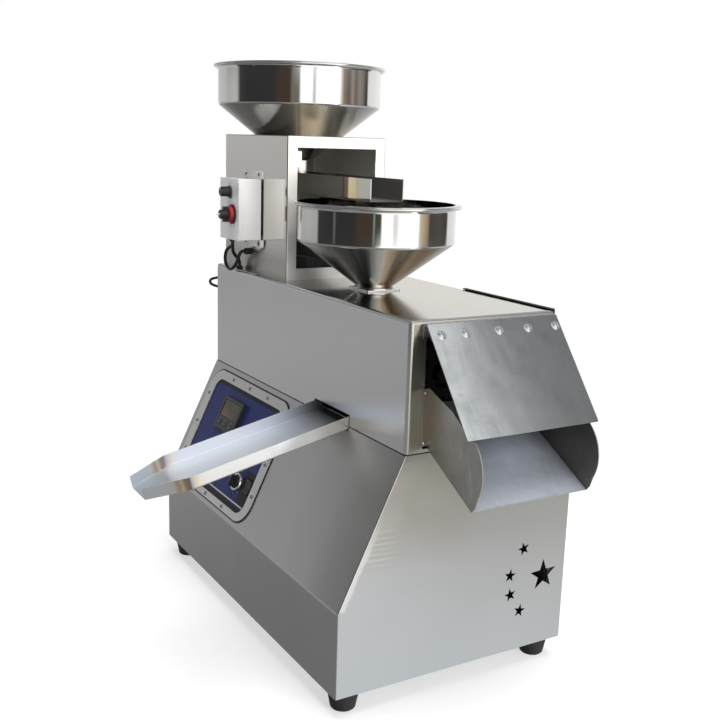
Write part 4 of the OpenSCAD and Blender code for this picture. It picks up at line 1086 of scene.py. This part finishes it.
def build_panel():
    # frame plate, its rubber seal, the face plate
    bm = bmesh.new()
    outer = fillet(rect(22, 11, 410, 269), 45, 10)
    inner = fillet(rect(52, 26, 384, 249), 26, 10)
    ring_plate(bm, outer, inner, 0, 2.5)
    soften(bm, 0.8, 3, 60)
    bmesh.ops.transform(bm, matrix=SLOPE, verts=bm.verts)
    piece(("panel_rim", bm), M_FRAME, "cabinet", ("panel_frame",))

    bm = bmesh.new()
    ring_plate(bm, fillet(rect(19.2, 8.2, 412.8, 271.8), 47.5, 10), fillet(rect(26, 15, 406, 265), 41, 10), -0.2, 1.4)
    soften(bm, 0.4, 2, 60)
    bmesh.ops.transform(bm, matrix=SLOPE, verts=bm.verts)
    piece(("panel_seal", bm), M_RUBBER, "cabinet", ())

    bm = bmesh.new()
    block(bm, (48, 22, -1.5), (388.5, 253, 0), 0)
    block(bm, (50, 23, 0), (386, 37, 0.2), 1)
    block(bm, (60, 38.5, 0), (376, 41.5, 0.35), 2)
    block(bm, (50, 240, 0), (386, 252, 0.2), 1)
    block(bm, (338, 44, 0), (384, 112, 0.15), 1)
    # plain line marks round the controls
    for i in range(7):
        q = math.radians(45 + 45 * i)
        move(bm, block(bm, (22.5, -0.5, 0), (26, 0.5, 0.2), 2), Matrix.Translation((318, 79, 0)) @ Matrix.Rotation(q, 4, "Z"))
    bmesh.ops.transform(bm, matrix=SLOPE, verts=bm.verts)
    o = raw("panel_plate", bm)
    for k in (M_BLUE, M_BLACKPLATE, M_FRAME):
        o.data.materials.append(k)
    tools = [
        tool(lambda b: move(b, block(b, (135.5, 155.5, -8), (224.5, 220.5, 8)), SLOPE)),
        tool(lambda b: move(b, lathe(b, [(0, -8), (5.05, -8), (5.05, 8), (0, 8)], 24, closed=False), SLOPE @ Matrix.Translation((318, 79, 0)))),
        tool(lambda b: move(b, block(b, (354, 67, -8), (380, 99, 8)), SLOPE)),
    ]
    cut(o, tools)
    piece(o, [M_BLUE, M_BLACKPLATE, M_FRAME], "cabinet", ("panel_face",))

    # screws with crossed slots
    bm = bmesh.new()
    frame_screws = [(x, t) for x in (126, 213, 300) for t in (18.5, 259)] + [(x, t) for x in (37, 397) for t in (72, 140, 208)]
    spots = [SLOPE @ Matrix.Translation((x, t, 2.5)) @ Matrix.Rotation(0.4 * x, 4, "Z") for x, t in frame_screws]
    spots += [facing(x, 139, z) @ Matrix.Rotation(0.7 + 0.1 * x, 4, "Z") for x in (120, 184) for z in (723, 866)]
    for i, m in enumerate(spots):
        f = screw_head(bm)
        move(bm, f, m)
        if i >= len(spots) - 4:
            for q in f:
                q.material_index = 2
            move(bm, lathe(bm, [(4.1, 0), (7.2, 0), (7.2, 0.7), (6.7, 1.0), (4.1, 1.0)], 36, mat=1), m)
    piece(("pan_screws", bm), [M_SCREW, M_BRIGHT, M_DARK], "cabinet", ("screws",), deg=45)


def screw_head(bm):
    """Domed head with a cross-shaped recess."""
    r, w, s = 4.0, 0.55, 2.3
    cross = [(s, -w), (s, w), (w, w), (w, s), (-w, s), (-w, w), (-s, w), (-s, -w), (-w, -w), (-w, -s), (w, -s), (w, -w)]
    faces = []

    def h(x, y):
        q = math.hypot(x, y) / r
        return 2.6 - 1.7 * q * q

    top = [bm.verts.new((x, y, h(x, y))) for x, y in cross]
    low = [bm.verts.new((x * 0.9, y * 0.9, 1.2)) for x, y in cross]
    n = len(cross)
    for i in range(n):
        j = (i + 1) % n
        faces.append(bm.faces.new((top[i], low[i], low[j], top[j])))
    faces.append(bm.faces.new(low))
    mid = [bm.verts.new((3.0 * math.cos(q), 3.0 * math.sin(q), h(3.0, 0))) for q in (math.atan2(y, x) for x, y in cross)]
    rim = [bm.verts.new((r * math.cos(q), r * math.sin(q), 0.7)) for q in (math.atan2(y, x) for x, y in cross)]
    foot = [bm.verts.new((r * math.cos(q), r * math.sin(q), 0)) for q in (math.atan2(y, x) for x, y in cross)]
    for a, b in ((top, mid), (mid, rim), (rim, foot)):
        for i in range(n):
            j = (i + 1) % n
            faces.append(bm.faces.new((a[i], a[j], b[j], b[i])))
    faces.append(bm.faces.new(foot[::-1]))
    bmesh.ops.recalc_face_normals(bm, faces=faces)
    return faces


build_panel()


def build_controls():
    # controller: bezel, display glass, key wells
    bm = bmesh.new()
    pts = fillet(rect(132, 152, 228, 224), 4, 5)
    prism(bm, [(x, y, 0) for x, y in pts], (0, 0, 9))
    soften(bm, 1.6, 4, 60, lambda e: all(v.co.z > 8 for v in e.verts))
    o = raw("controller_case", bm)
    o.data.materials.append(M_CASE)
    tools = [tool(lambda b: prism(b, [(x, y, 7.0) for x, y in fillet(rect(140, 180, 220, 216), 2, 4)], (0, 0, 8)))]
    for x in (152, 180, 208):
        tools.append(tool(lambda b, x=x: prism(b, [(u, v, 5.5) for u, v in fillet(rect(x - 7, 161, x + 7, 169.8), 1.2, 3)], (0, 0, 8))))
    cut(o, tools)
    bm = bmesh.new()
    bm.from_mesh(o.data)
    block(bm, (136, 156, -60), (224, 220, 0.5))
    prism(bm, [(x, y, 6.8) for x, y in fillet(rect(140.4, 180.4, 219.6, 215.6), 1.8, 4)], (0, 0, 0.9), 1)
    for i in range(3):
        x = 152 + 28 * i
        prism(bm, [(x + 1.6 * math.cos(k * math.pi / 8), 174.6 + 1.6 * math.sin(k * math.pi / 8), 8.9) for k in range(16)], (0, 0, 0.5), 2)
    bmesh.ops.transform(bm, matrix=SLOPE, verts=bm.verts)
    bm.to_mesh(o.data)
    bm.free()
    piece(o, [M_CASE, M_GLASS, M_GREEN], "cabinet", ("controller",))

    for i, (node, body) in enumerate((("key_set", "set_key"), ("key_down", "down_key"), ("key_up", "up_key"))):
        x = 152 + 28 * i
        bm = bmesh.new()
        prism(bm, [(u, v, 7.0) for u, v in fillet(rect(x - 6.6, 161.4, x + 6.6, 169.4), 1.2, 4)], (0, 0, 3.2))
        soften(bm, 0.8, 3, 60, lambda e: all(v.co.z > 10 for v in e.verts))
        if i == 0:
            block(bm, (x - 2, 165.0, 10.1), (x + 2, 165.8, 10.3), 1)
        else:
            s = -1 if i == 1 else 1
            prism(bm, [(x - 2, 165.4 - s * 1.4, 10.1), (x + 2, 165.4 - s * 1.4, 10.1), (x, 165.4 + s * 1.8, 10.1)], (0, 0, 0.2), 1)
        bmesh.ops.transform(bm, matrix=SLOPE, verts=bm.verts)
        piece((node + "_cap", bm), [M_KEY, M_GREY], body, (node,))

    # selector: bright ring and black handle
    at = SLOPE @ Matrix.Translation((318, 79, 0))
    bm = bmesh.new()
    f = lathe(bm, [(13.4, 0), (19.5, 0), (19.4, 1.6), (18.6, 4.6), (17.6, 5.7), (16.4, 6.0), (15.0, 5.4), (13.4, 3.6)], 64)
    move(bm, f, at)
    piece(("selector_ring", bm), M_BRIGHT, "cabinet", ("selector_bezel",), weighted=False)
    bm = bmesh.new()
    f = lathe(bm, [(0, -14), (5, -14), (5, 0.4), (12.6, 0.4), (13, 1), (13, 7.2), (12, 8.4), (0, 8.4)], 48, closed=False)
    pts = fillet([(-4.2, -12), (4.2, -12), (3.6, 12.2), (-3.6, 12.2)], 2.5, 4)
    f += prism(bm, [(x, y, 8.2) for x, y in pts], (0, 0, 12))
    f += block(bm, (-0.5, 4, 20.0), (0.5, 11.4, 20.5), 1)
    move(bm, f, at)
    soften(bm, 0.5, 2, 60)
    piece(("selector_grip", bm), [M_PLASTIC, M_WHITE], "selector", ("selector_knob",))

    # rocker
    bm = bmesh.new()
    pts = fillet([(-14.5, -6), (14.5, -6), (14.5, 5), (0, 2.6), (-14.5, 5)], [0.5, 0.5, 1.5, 6, 1.5], 4)
    f = prism(bm, [(354.5, 83 + y, z) for y, z in pts], (25, 0, 0))
    soften(bm, 0.5, 2, 60)
    f2 = lathe(bm, [(0, 0), (1.2, 0), (1.2, 29), (0, 29)], 16, closed=False)
    move(bm, f2, Matrix.Translation((352.5, 83, -3)) @ Matrix.Rotation(math.radians(90), 4, "Y"))
    bmesh.ops.transform(bm, matrix=SLOPE, verts=bm.verts)
    piece(("rocker_cap", bm), M_PLASTIC, "rocker_key", ("rocker",))


M_CASE = plain("controller_case", (0.020, 0.022, 0.022), 0.38, vary=0.2, scale=120, bump=0.05)


def display_glass():
    p = Paint("display_glass", Metallic=0.0)
    f = p.noise(p.stretch(14, 14, 14), detail=3, rough=0.5)
    p.colour(p.ramp(f, [(0.3, (0.030, 0.022, 0.010)), (0.5, (0.085, 0.055, 0.026)), (0.7, (0.075, 0.075, 0.030))]))
    p.rough(p.span(f, 0.3, 0.7, 0.10, 0.2))
    return p.m


M_GLASS = display_glass()
build_controls()


# ------------------------------------------------------------------ other CAD pieces keep their shape
def paint_rest():
    finish = {
        "back_panel": M_BACK, "base_plate": M_BACK, "deck_plate": M_BACK, "frame_posts": M_CAST, "hinge_leaf": M_MACH, "hinge_pin": M_MACH,
        "flap_leaf": M_MACH, "oil_tray": M_TRAY, "press_barrel": M_CAST, "heater_bands": M_BRASS, "press_head": M_PRESS, "press_screw": M_WORM,
        "bearing_housing": M_CAST, "bearings": M_MACH, "gearbox_case": M_CAST, "gearbox_cover": M_CAST, "main_gear": M_MACH, "pinion_shaft": M_MACH,
        "v_belt": M_RUBBER, "motor": M_MOTOR, "motor_shaft": M_MACH, "mains_inlet": M_PLASTIC, "leaf_springs": M_MACH, "feeder_base": M_CAST, "magnet": M_CAST,
    }
    for n, o in NODES.items():
        if o.hide_render:
            continue
        o.data.materials.clear()
        o.data.materials.append(finish[n])


paint_rest()


# ------------------------------------------------------------------ floor, light, surroundings
def build_world():
    w = bpy.data.worlds.new("studio")
    SCENE.world = w
    w.use_nodes = True
    t = w.node_tree
    t.nodes.clear()

    def add(kind, **props):
        n = t.nodes.new(kind)
        for k, v in props.items():
            setattr(n, k, v)
        return n

    def calc(op, a, b=0.0):
        n = add("ShaderNodeMath", operation=op)
        for s, v in zip(n.inputs, (a, b)):
            if isinstance(v, bpy.types.NodeSocket):
                t.links.new(v, s)
            else:
                s.default_value = v
        return n.outputs[0]

    def ramp(fac, stops):
        n = add("ShaderNodeValToRGB")
        e = n.color_ramp.elements
        while len(e) < len(stops):
            e.new(0.5)
        for x, (az, c) in zip(e, stops):
            x.position = az / 360 + 0.5
            x.color = (*c, 1)
        t.links.new(fac, n.inputs[0])
        return n.outputs[0]

    def mix(f, a, b):
        n = add("ShaderNodeMix", data_type="RGBA")
        t.links.new(f, n.inputs[0])
        for s, v in ((n.inputs[6], a), (n.inputs[7], b)):
            if isinstance(v, bpy.types.NodeSocket):
                t.links.new(v, s)
            else:
                s.default_value = (*v, 1)
        return n.outputs[2]

    def step(v, a, b):
        n = add("ShaderNodeMapRange", interpolation_type="SMOOTHSTEP")
        t.links.new(v, n.inputs["Value"])
        n.inputs["From Min"].default_value, n.inputs["From Max"].default_value = a, b
        return n.outputs[0]

    sep = add("ShaderNodeSeparateXYZ")
    t.links.new(add("ShaderNodeTexCoord").outputs["Generated"], sep.inputs[0])
    az = calc("ADD", calc("DIVIDE", calc("ARCTAN2", sep.outputs[1], sep.outputs[0]), 2 * math.pi), 0.5)
    el = sep.outputs[2]
    def grey(c):
        return c if isinstance(c, tuple) else (c, c, c)

    # what the polished sheets mirror: one row of (azimuth, light) per elevation
    white, brown, olive = 1.9, (0.075, 0.052, 0.038), (0.21, 0.20, 0.16)

    def flap(turn, k):
        """Light that the flap mirrors, turned with height so that it runs down the sheet."""
        steps = ((44, 1.55), (49, 1.5), (51.25, 1.34), (52.6, 0.96), (54.1, 0.56), (55.0, 0.35), (55.9, 0.275), (57, 0.262), (59, 0.258), (61, 0.24), (64, 0.21), (70, 0.20))
        return [(q + turn, v * k) for q, v in steps]

    rows = [
        (-75, [(-180, 0.20), (-150, 0.16), (-60, 0.12), (0, 0.7), (60, 0.5), (115, 0.35), (130, (0.62, 0.57, 0.48)), (150, 0.3), (180, 0.20)]),
        (-50, [(-180, 0.22), (-150, 0.20), (-100, 0.10), (-40, 0.14), (-10, 0.8), (35, 0.85), (80, 0.45), (105, (0.16, 0.155, 0.12)), (120, (0.16, 0.155, 0.12)), (135, 0.45), (160, 0.25), (180, 0.22)]),
        (-29, [(-180, 0.28), (-160, 0.23), (-155, 0.20), (-151, 0.235), (-120, 0.24), (-90, 0.26), (-50, 0.34), (-26, 0.40), (0, 0.6), (30, (0.86, 0.94, 1.0)), (42, (0.86, 0.93, 0.98)), (80, 0.65), (120, 0.5), (180, 0.28)]),
        (-26, [(-180, 0.28), (-160, 0.24), (-156, 0.205), (-151, 0.235), (-120, 0.25), (-90, 0.27), (-50, 0.35), (-26, 0.42), (0, 0.6), (24, 0.9), (30, (0.84, 0.87, 0.90)), (36, (0.84, 0.88, 0.91)), (43, (0.92, 0.95, 0.97)), (80, 0.65), (120, 0.5), (180, 0.28)]),
        (-23.5, [(-180, 0.31), (-160, 0.275), (-157, 0.235), (-150, 0.25), (-145, 0.26), (-100, 0.28), (-50, 0.4), (-20, 0.5), (20, 0.6), (24, 1.2), (27, 1.1), (31, (0.68, 0.65, 0.63)), (36, (0.66, 0.645, 0.63)), (38.5, (0.70, 0.69, 0.675)), (43, (1.02, 1.02, 1.02)), (80, 0.6), (120, 0.6), (180, 0.31)]),
        (-21.5, [(-180, 0.34), (-160, 0.31), (-156, 0.28), (-148, 0.29), (-142, 0.28), (-134, 0.21), (-110, 0.29), (-50, 0.36), (-18, 0.5), (20, 0.6), (24, 1.7), (28, 1.5), (31, (0.52, 0.505, 0.475)), (36, (0.44, 0.42, 0.395)), (42, (0.60, 0.595, 0.57)), (62, 0.55), (120, 0.6), (180, 0.34)]),
        (-18, [(-180, 0.38), (-158, 0.37), (-147, 0.33), (-142, 0.30), (-134, 0.20), (-110, 0.30), (-50, 0.33), (-34, 0.36), (-18, 0.5), (19, 0.6), (23, 2.3), (28.5, 2.2), (31, (0.37, 0.355, 0.30)), (35, (0.28, 0.27, 0.22)), (42, (0.54, 0.53, 0.48)), (62, 0.55), (120, 0.6), (180, 0.38)]),
        (-14, [(-180, 0.50), (-157, 0.46), (-147, 0.47), (-120, 0.40), (-90, 0.38), (-60, 0.34), (-34, 0.36), (-18, 0.7), (0, 0.8), (19, 0.8), (23, 2.2), (27, 2.2), (29, (0.20, 0.18, 0.14)), (34, (0.13, 0.125, 0.095)), (42, (0.28, 0.28, 0.25)), (55, (0.45, 0.50, 0.55)), (64, (0.50, 0.58, 0.63)), (120, 0.7), (180, 0.50)]),
        (-10, [(-180, 0.48), (-157, 0.49), (-147, 0.49), (-130, 0.42), (-110, 0.22), (-60, 0.20), (-36, 0.26), (-24, 1.6), (28, white), (31.5, 0.3), (35, (0.10, 0.10, 0.075)), (50, 0.2), (62, (0.48, 0.55, 0.60)), (90, 0.6), (120, 0.9), (150, 0.7), (180, 0.48)]),
        (-7.3, [(-180, 0.42), (-157, 0.38), (-150, 0.36), (-128, 0.40), (-121, 0.06), (-60, 0.05), (-40, 0.08), (-33, 0.2), (-24, 1.6), (30, white), (33, 0.9), (40, 0.35), (55, 0.15), (85, 0.12), (94, 0.9), (120, 0.9), (150, 0.7), (180, 0.42)]),
        (-4.5, [(-180, 0.75), (-168, 0.50), (-145, 0.56), (-125, 0.50), (-122, 0.05), (-96, 0.040), (-93.5, 0.22), (-91, 0.040), (-64, 0.040), (-56, brown), (-42, brown), (-39, (0.05, 0.065, 0.045)), (-36, (0.05, 0.065, 0.045)), (-34.5, 0.5), (-33, (0.06, 0.075, 0.05)), (-25, (0.06, 0.075, 0.05)), (-22, white), (-9, white), (-6, 1.0), (-1, 1.1), (3, white), (30, white), (34, (0.80, 0.66, 0.46)), (47, (0.42, 0.32, 0.22)), (51, (0.085, 0.075, 0.068)), (70, (0.11, 0.095, 0.085)), (90, 0.07), (94, 0.95), (120, 1.0), (150, 0.9), (170, 1.3), (180, 0.75)]),
        (2.5, [(-180, 0.66), (-155, 0.64), (-145, 0.55), (-130, 0.62), (-124, 0.58), (-118, 0.06), (-105, 0.040), (-64, 0.042), (-55, brown), (-40, brown), (-37, olive), (-27, olive), (-24, white), (-10, white), (-8, 0.8), (-5, 0.8), (-3, white), (29, white), (33, (0.95, 0.85, 0.70)), (37, (0.34, 0.28, 0.23)), (46, (0.16, 0.13, 0.115)), (52, (0.42, 0.36, 0.31)), (58, (0.20, 0.165, 0.15)), (66, (0.36, 0.32, 0.30)), (75, (0.24, 0.21, 0.20)), (79, 0.07), (83, 0.09), (86, 1.0), (115, 1.1), (140, 1.0), (180, 0.66)]),
        (6.5, [(-180, 0.50), (-153, 0.54), (-149, 0.47), (-146.5, (0.43, 0.445, 0.46)), (-145, 0.32), (-143.5, 0.20), (-140, 0.17), (-124, 0.22), (-118, 0.06), (-60, 0.045), (-38, 0.09), (-26, 1.5), (29, white), (36, 0.5), (60, 0.28), (82, 0.25), (90, 1.0), (125, 1.0), (141, (0.90, 0.87, 0.79)), (152, (0.86, 0.83, 0.76)), (160, 0.75), (180, 0.50)]),
        (14, [(-180, 0.24), (-150, 0.30), (-146, 0.20), (-125, 0.18), (-115, 0.10), (-50, 0.09), (-30, 0.5), (-15, 1.4), (30, 1.4), (45, 0.6), (90, 0.7), (120, 0.9), (150, 0.8), (180, 0.45)]),
        (28, [(-180, 0.45), (-120, 0.35), (-60, 0.25), (-20, 0.9), *flap(-11.7, 1.0), (80, 0.3), (100, 0.5), (140, 0.8), (164, 0.75), (180, 0.45)]),
        (37, [(-180, 0.28), (-120, 0.28), (-60, 0.25), (-10, 0.9), *flap(-4.2, 1.06), (84, (0.42, 0.46, 0.52)), (110, (0.52, 0.56, 0.62)), (124, (0.36, 0.30, 0.22)), (136, 0.6), (160, 0.3), (180, 0.28)]),
        (42, [(-180, 0.18), (-120, 0.25), (-60, 0.25), (0, 0.9), *flap(0.0, 1.0), (90, (0.52, 0.58, 0.68)), (110, (0.52, 0.58, 0.68)), (122, (0.28, 0.22, 0.16)), (134, 0.8), (160, 0.14), (180, 0.18)]),
        (47, [(-180, 0.15), (-120, 0.22), (-60, 0.22), (0, 0.8), *flap(4.2, 0.92), (92, (0.56, 0.63, 0.75)), (109, (0.56, 0.63, 0.75)), (122, (0.30, 0.24, 0.17)), (134, (1.2, 1.12, 0.96)), (152, 0.2), (180, 0.15)]),
        (52, [(-180, 0.12), (-120, 0.2), (-60, 0.2), (0, 0.7), *flap(8.3, 1.0), (92, (0.60, 0.68, 0.82)), (108, (0.60, 0.68, 0.82)), (120, (0.40, 0.33, 0.25)), (131, (1.7, 1.6, 1.35)), (140, (1.2, 1.12, 0.96)), (152, 0.2), (180, 0.12)]),
        (72, [(-180, 0.13), (-60, 0.2), (0, 0.4), (60, 0.5), (106, 0.5), (120, (2.0, 1.85, 1.6)), (140, (2.0, 1.85, 1.6)), (156, 0.25), (180, 0.13)]),
    ]
    sky = None
    for i, (e, stops) in enumerate(rows):
        band = ramp(az, [(a, grey(c)) for a, c in stops])
        sky = band if sky is None else mix(step(el, math.sin(math.radians(rows[i - 1][0])), math.sin(math.radians(e))), sky, band)
    path = add("ShaderNodeLightPath")
    seen = mix(path.outputs["Is Camera Ray"], sky, (1.0, 1.0, 1.0))
    bg = add("ShaderNodeBackground")
    t.links.new(seen, bg.inputs["Color"])
    out = add("ShaderNodeOutputWorld")
    t.links.new(bg.outputs[0], out.inputs["Surface"])


build_world()


def build_floor():
    bm = bmesh.new()
    seg, rings = 96, [0.0, 0.5, 1.0, 1.6, 2.4, 3.4, 4.6, 6.0]
    prev = None
    for r in rings:
        cur = [bm.verts.new((0, 0, 0))] if r == 0 else [bm.verts.new((r * math.cos(2 * math.pi * i / seg), r * math.sin(2 * math.pi * i / seg), 0)) for i in range(seg)]
        if prev:
            for i in range(seg):
                j = (i + 1) % seg
                bm.faces.new((prev[0], cur[i], cur[j]) if len(prev) == 1 else (prev[i], cur[i], cur[j], prev[j]))
        prev = cur
    o = raw("floor", bm)
    p = Paint("floor_paper", Roughness=0.9)
    f = p.noise(p.stretch(2, 2, 2), detail=3, rough=0.5)
    p.colour(p.mix(f, (0.88, 0.88, 0.88), (0.92, 0.92, 0.92)))
    x, y, _ = p.axes(p.pos)
    d = p.math("SQRT", p.math("ADD", p.math("MULTIPLY", x, x), p.math("MULTIPLY", y, y)))
    p.put(p.b.inputs["Alpha"], p.span(d, 0.7, 3.2, 0.42, 0.0, True))
    o.data.materials.append(p.m)
    o.visible_glossy = False


build_floor()


def area(name, place, aim, size, watts, colour=(1, 1, 1), gloss=False):
    d = bpy.data.lights.new(name, "AREA")
    d.shape, d.size, d.energy, d.color = "DISK", size, watts, colour
    o = bpy.data.objects.new(name, d)
    SCENE.collection.objects.link(o)
    o.location = place
    o.rotation_mode = "QUATERNION"
    o.rotation_quaternion = (Vector(aim) - Vector(place)).to_track_quat("-Z", "Y")
    o.visible_glossy = gloss
    return o


area("overhead", (0.3, 0.2, 3.6), (0, 0, 0), 3.2, 190)
area("side", (3.2, 0.6, 1.8), (0.1, 0, 0.6), 1.6, 40)

SCENE.view_settings.view_transform = "Standard"
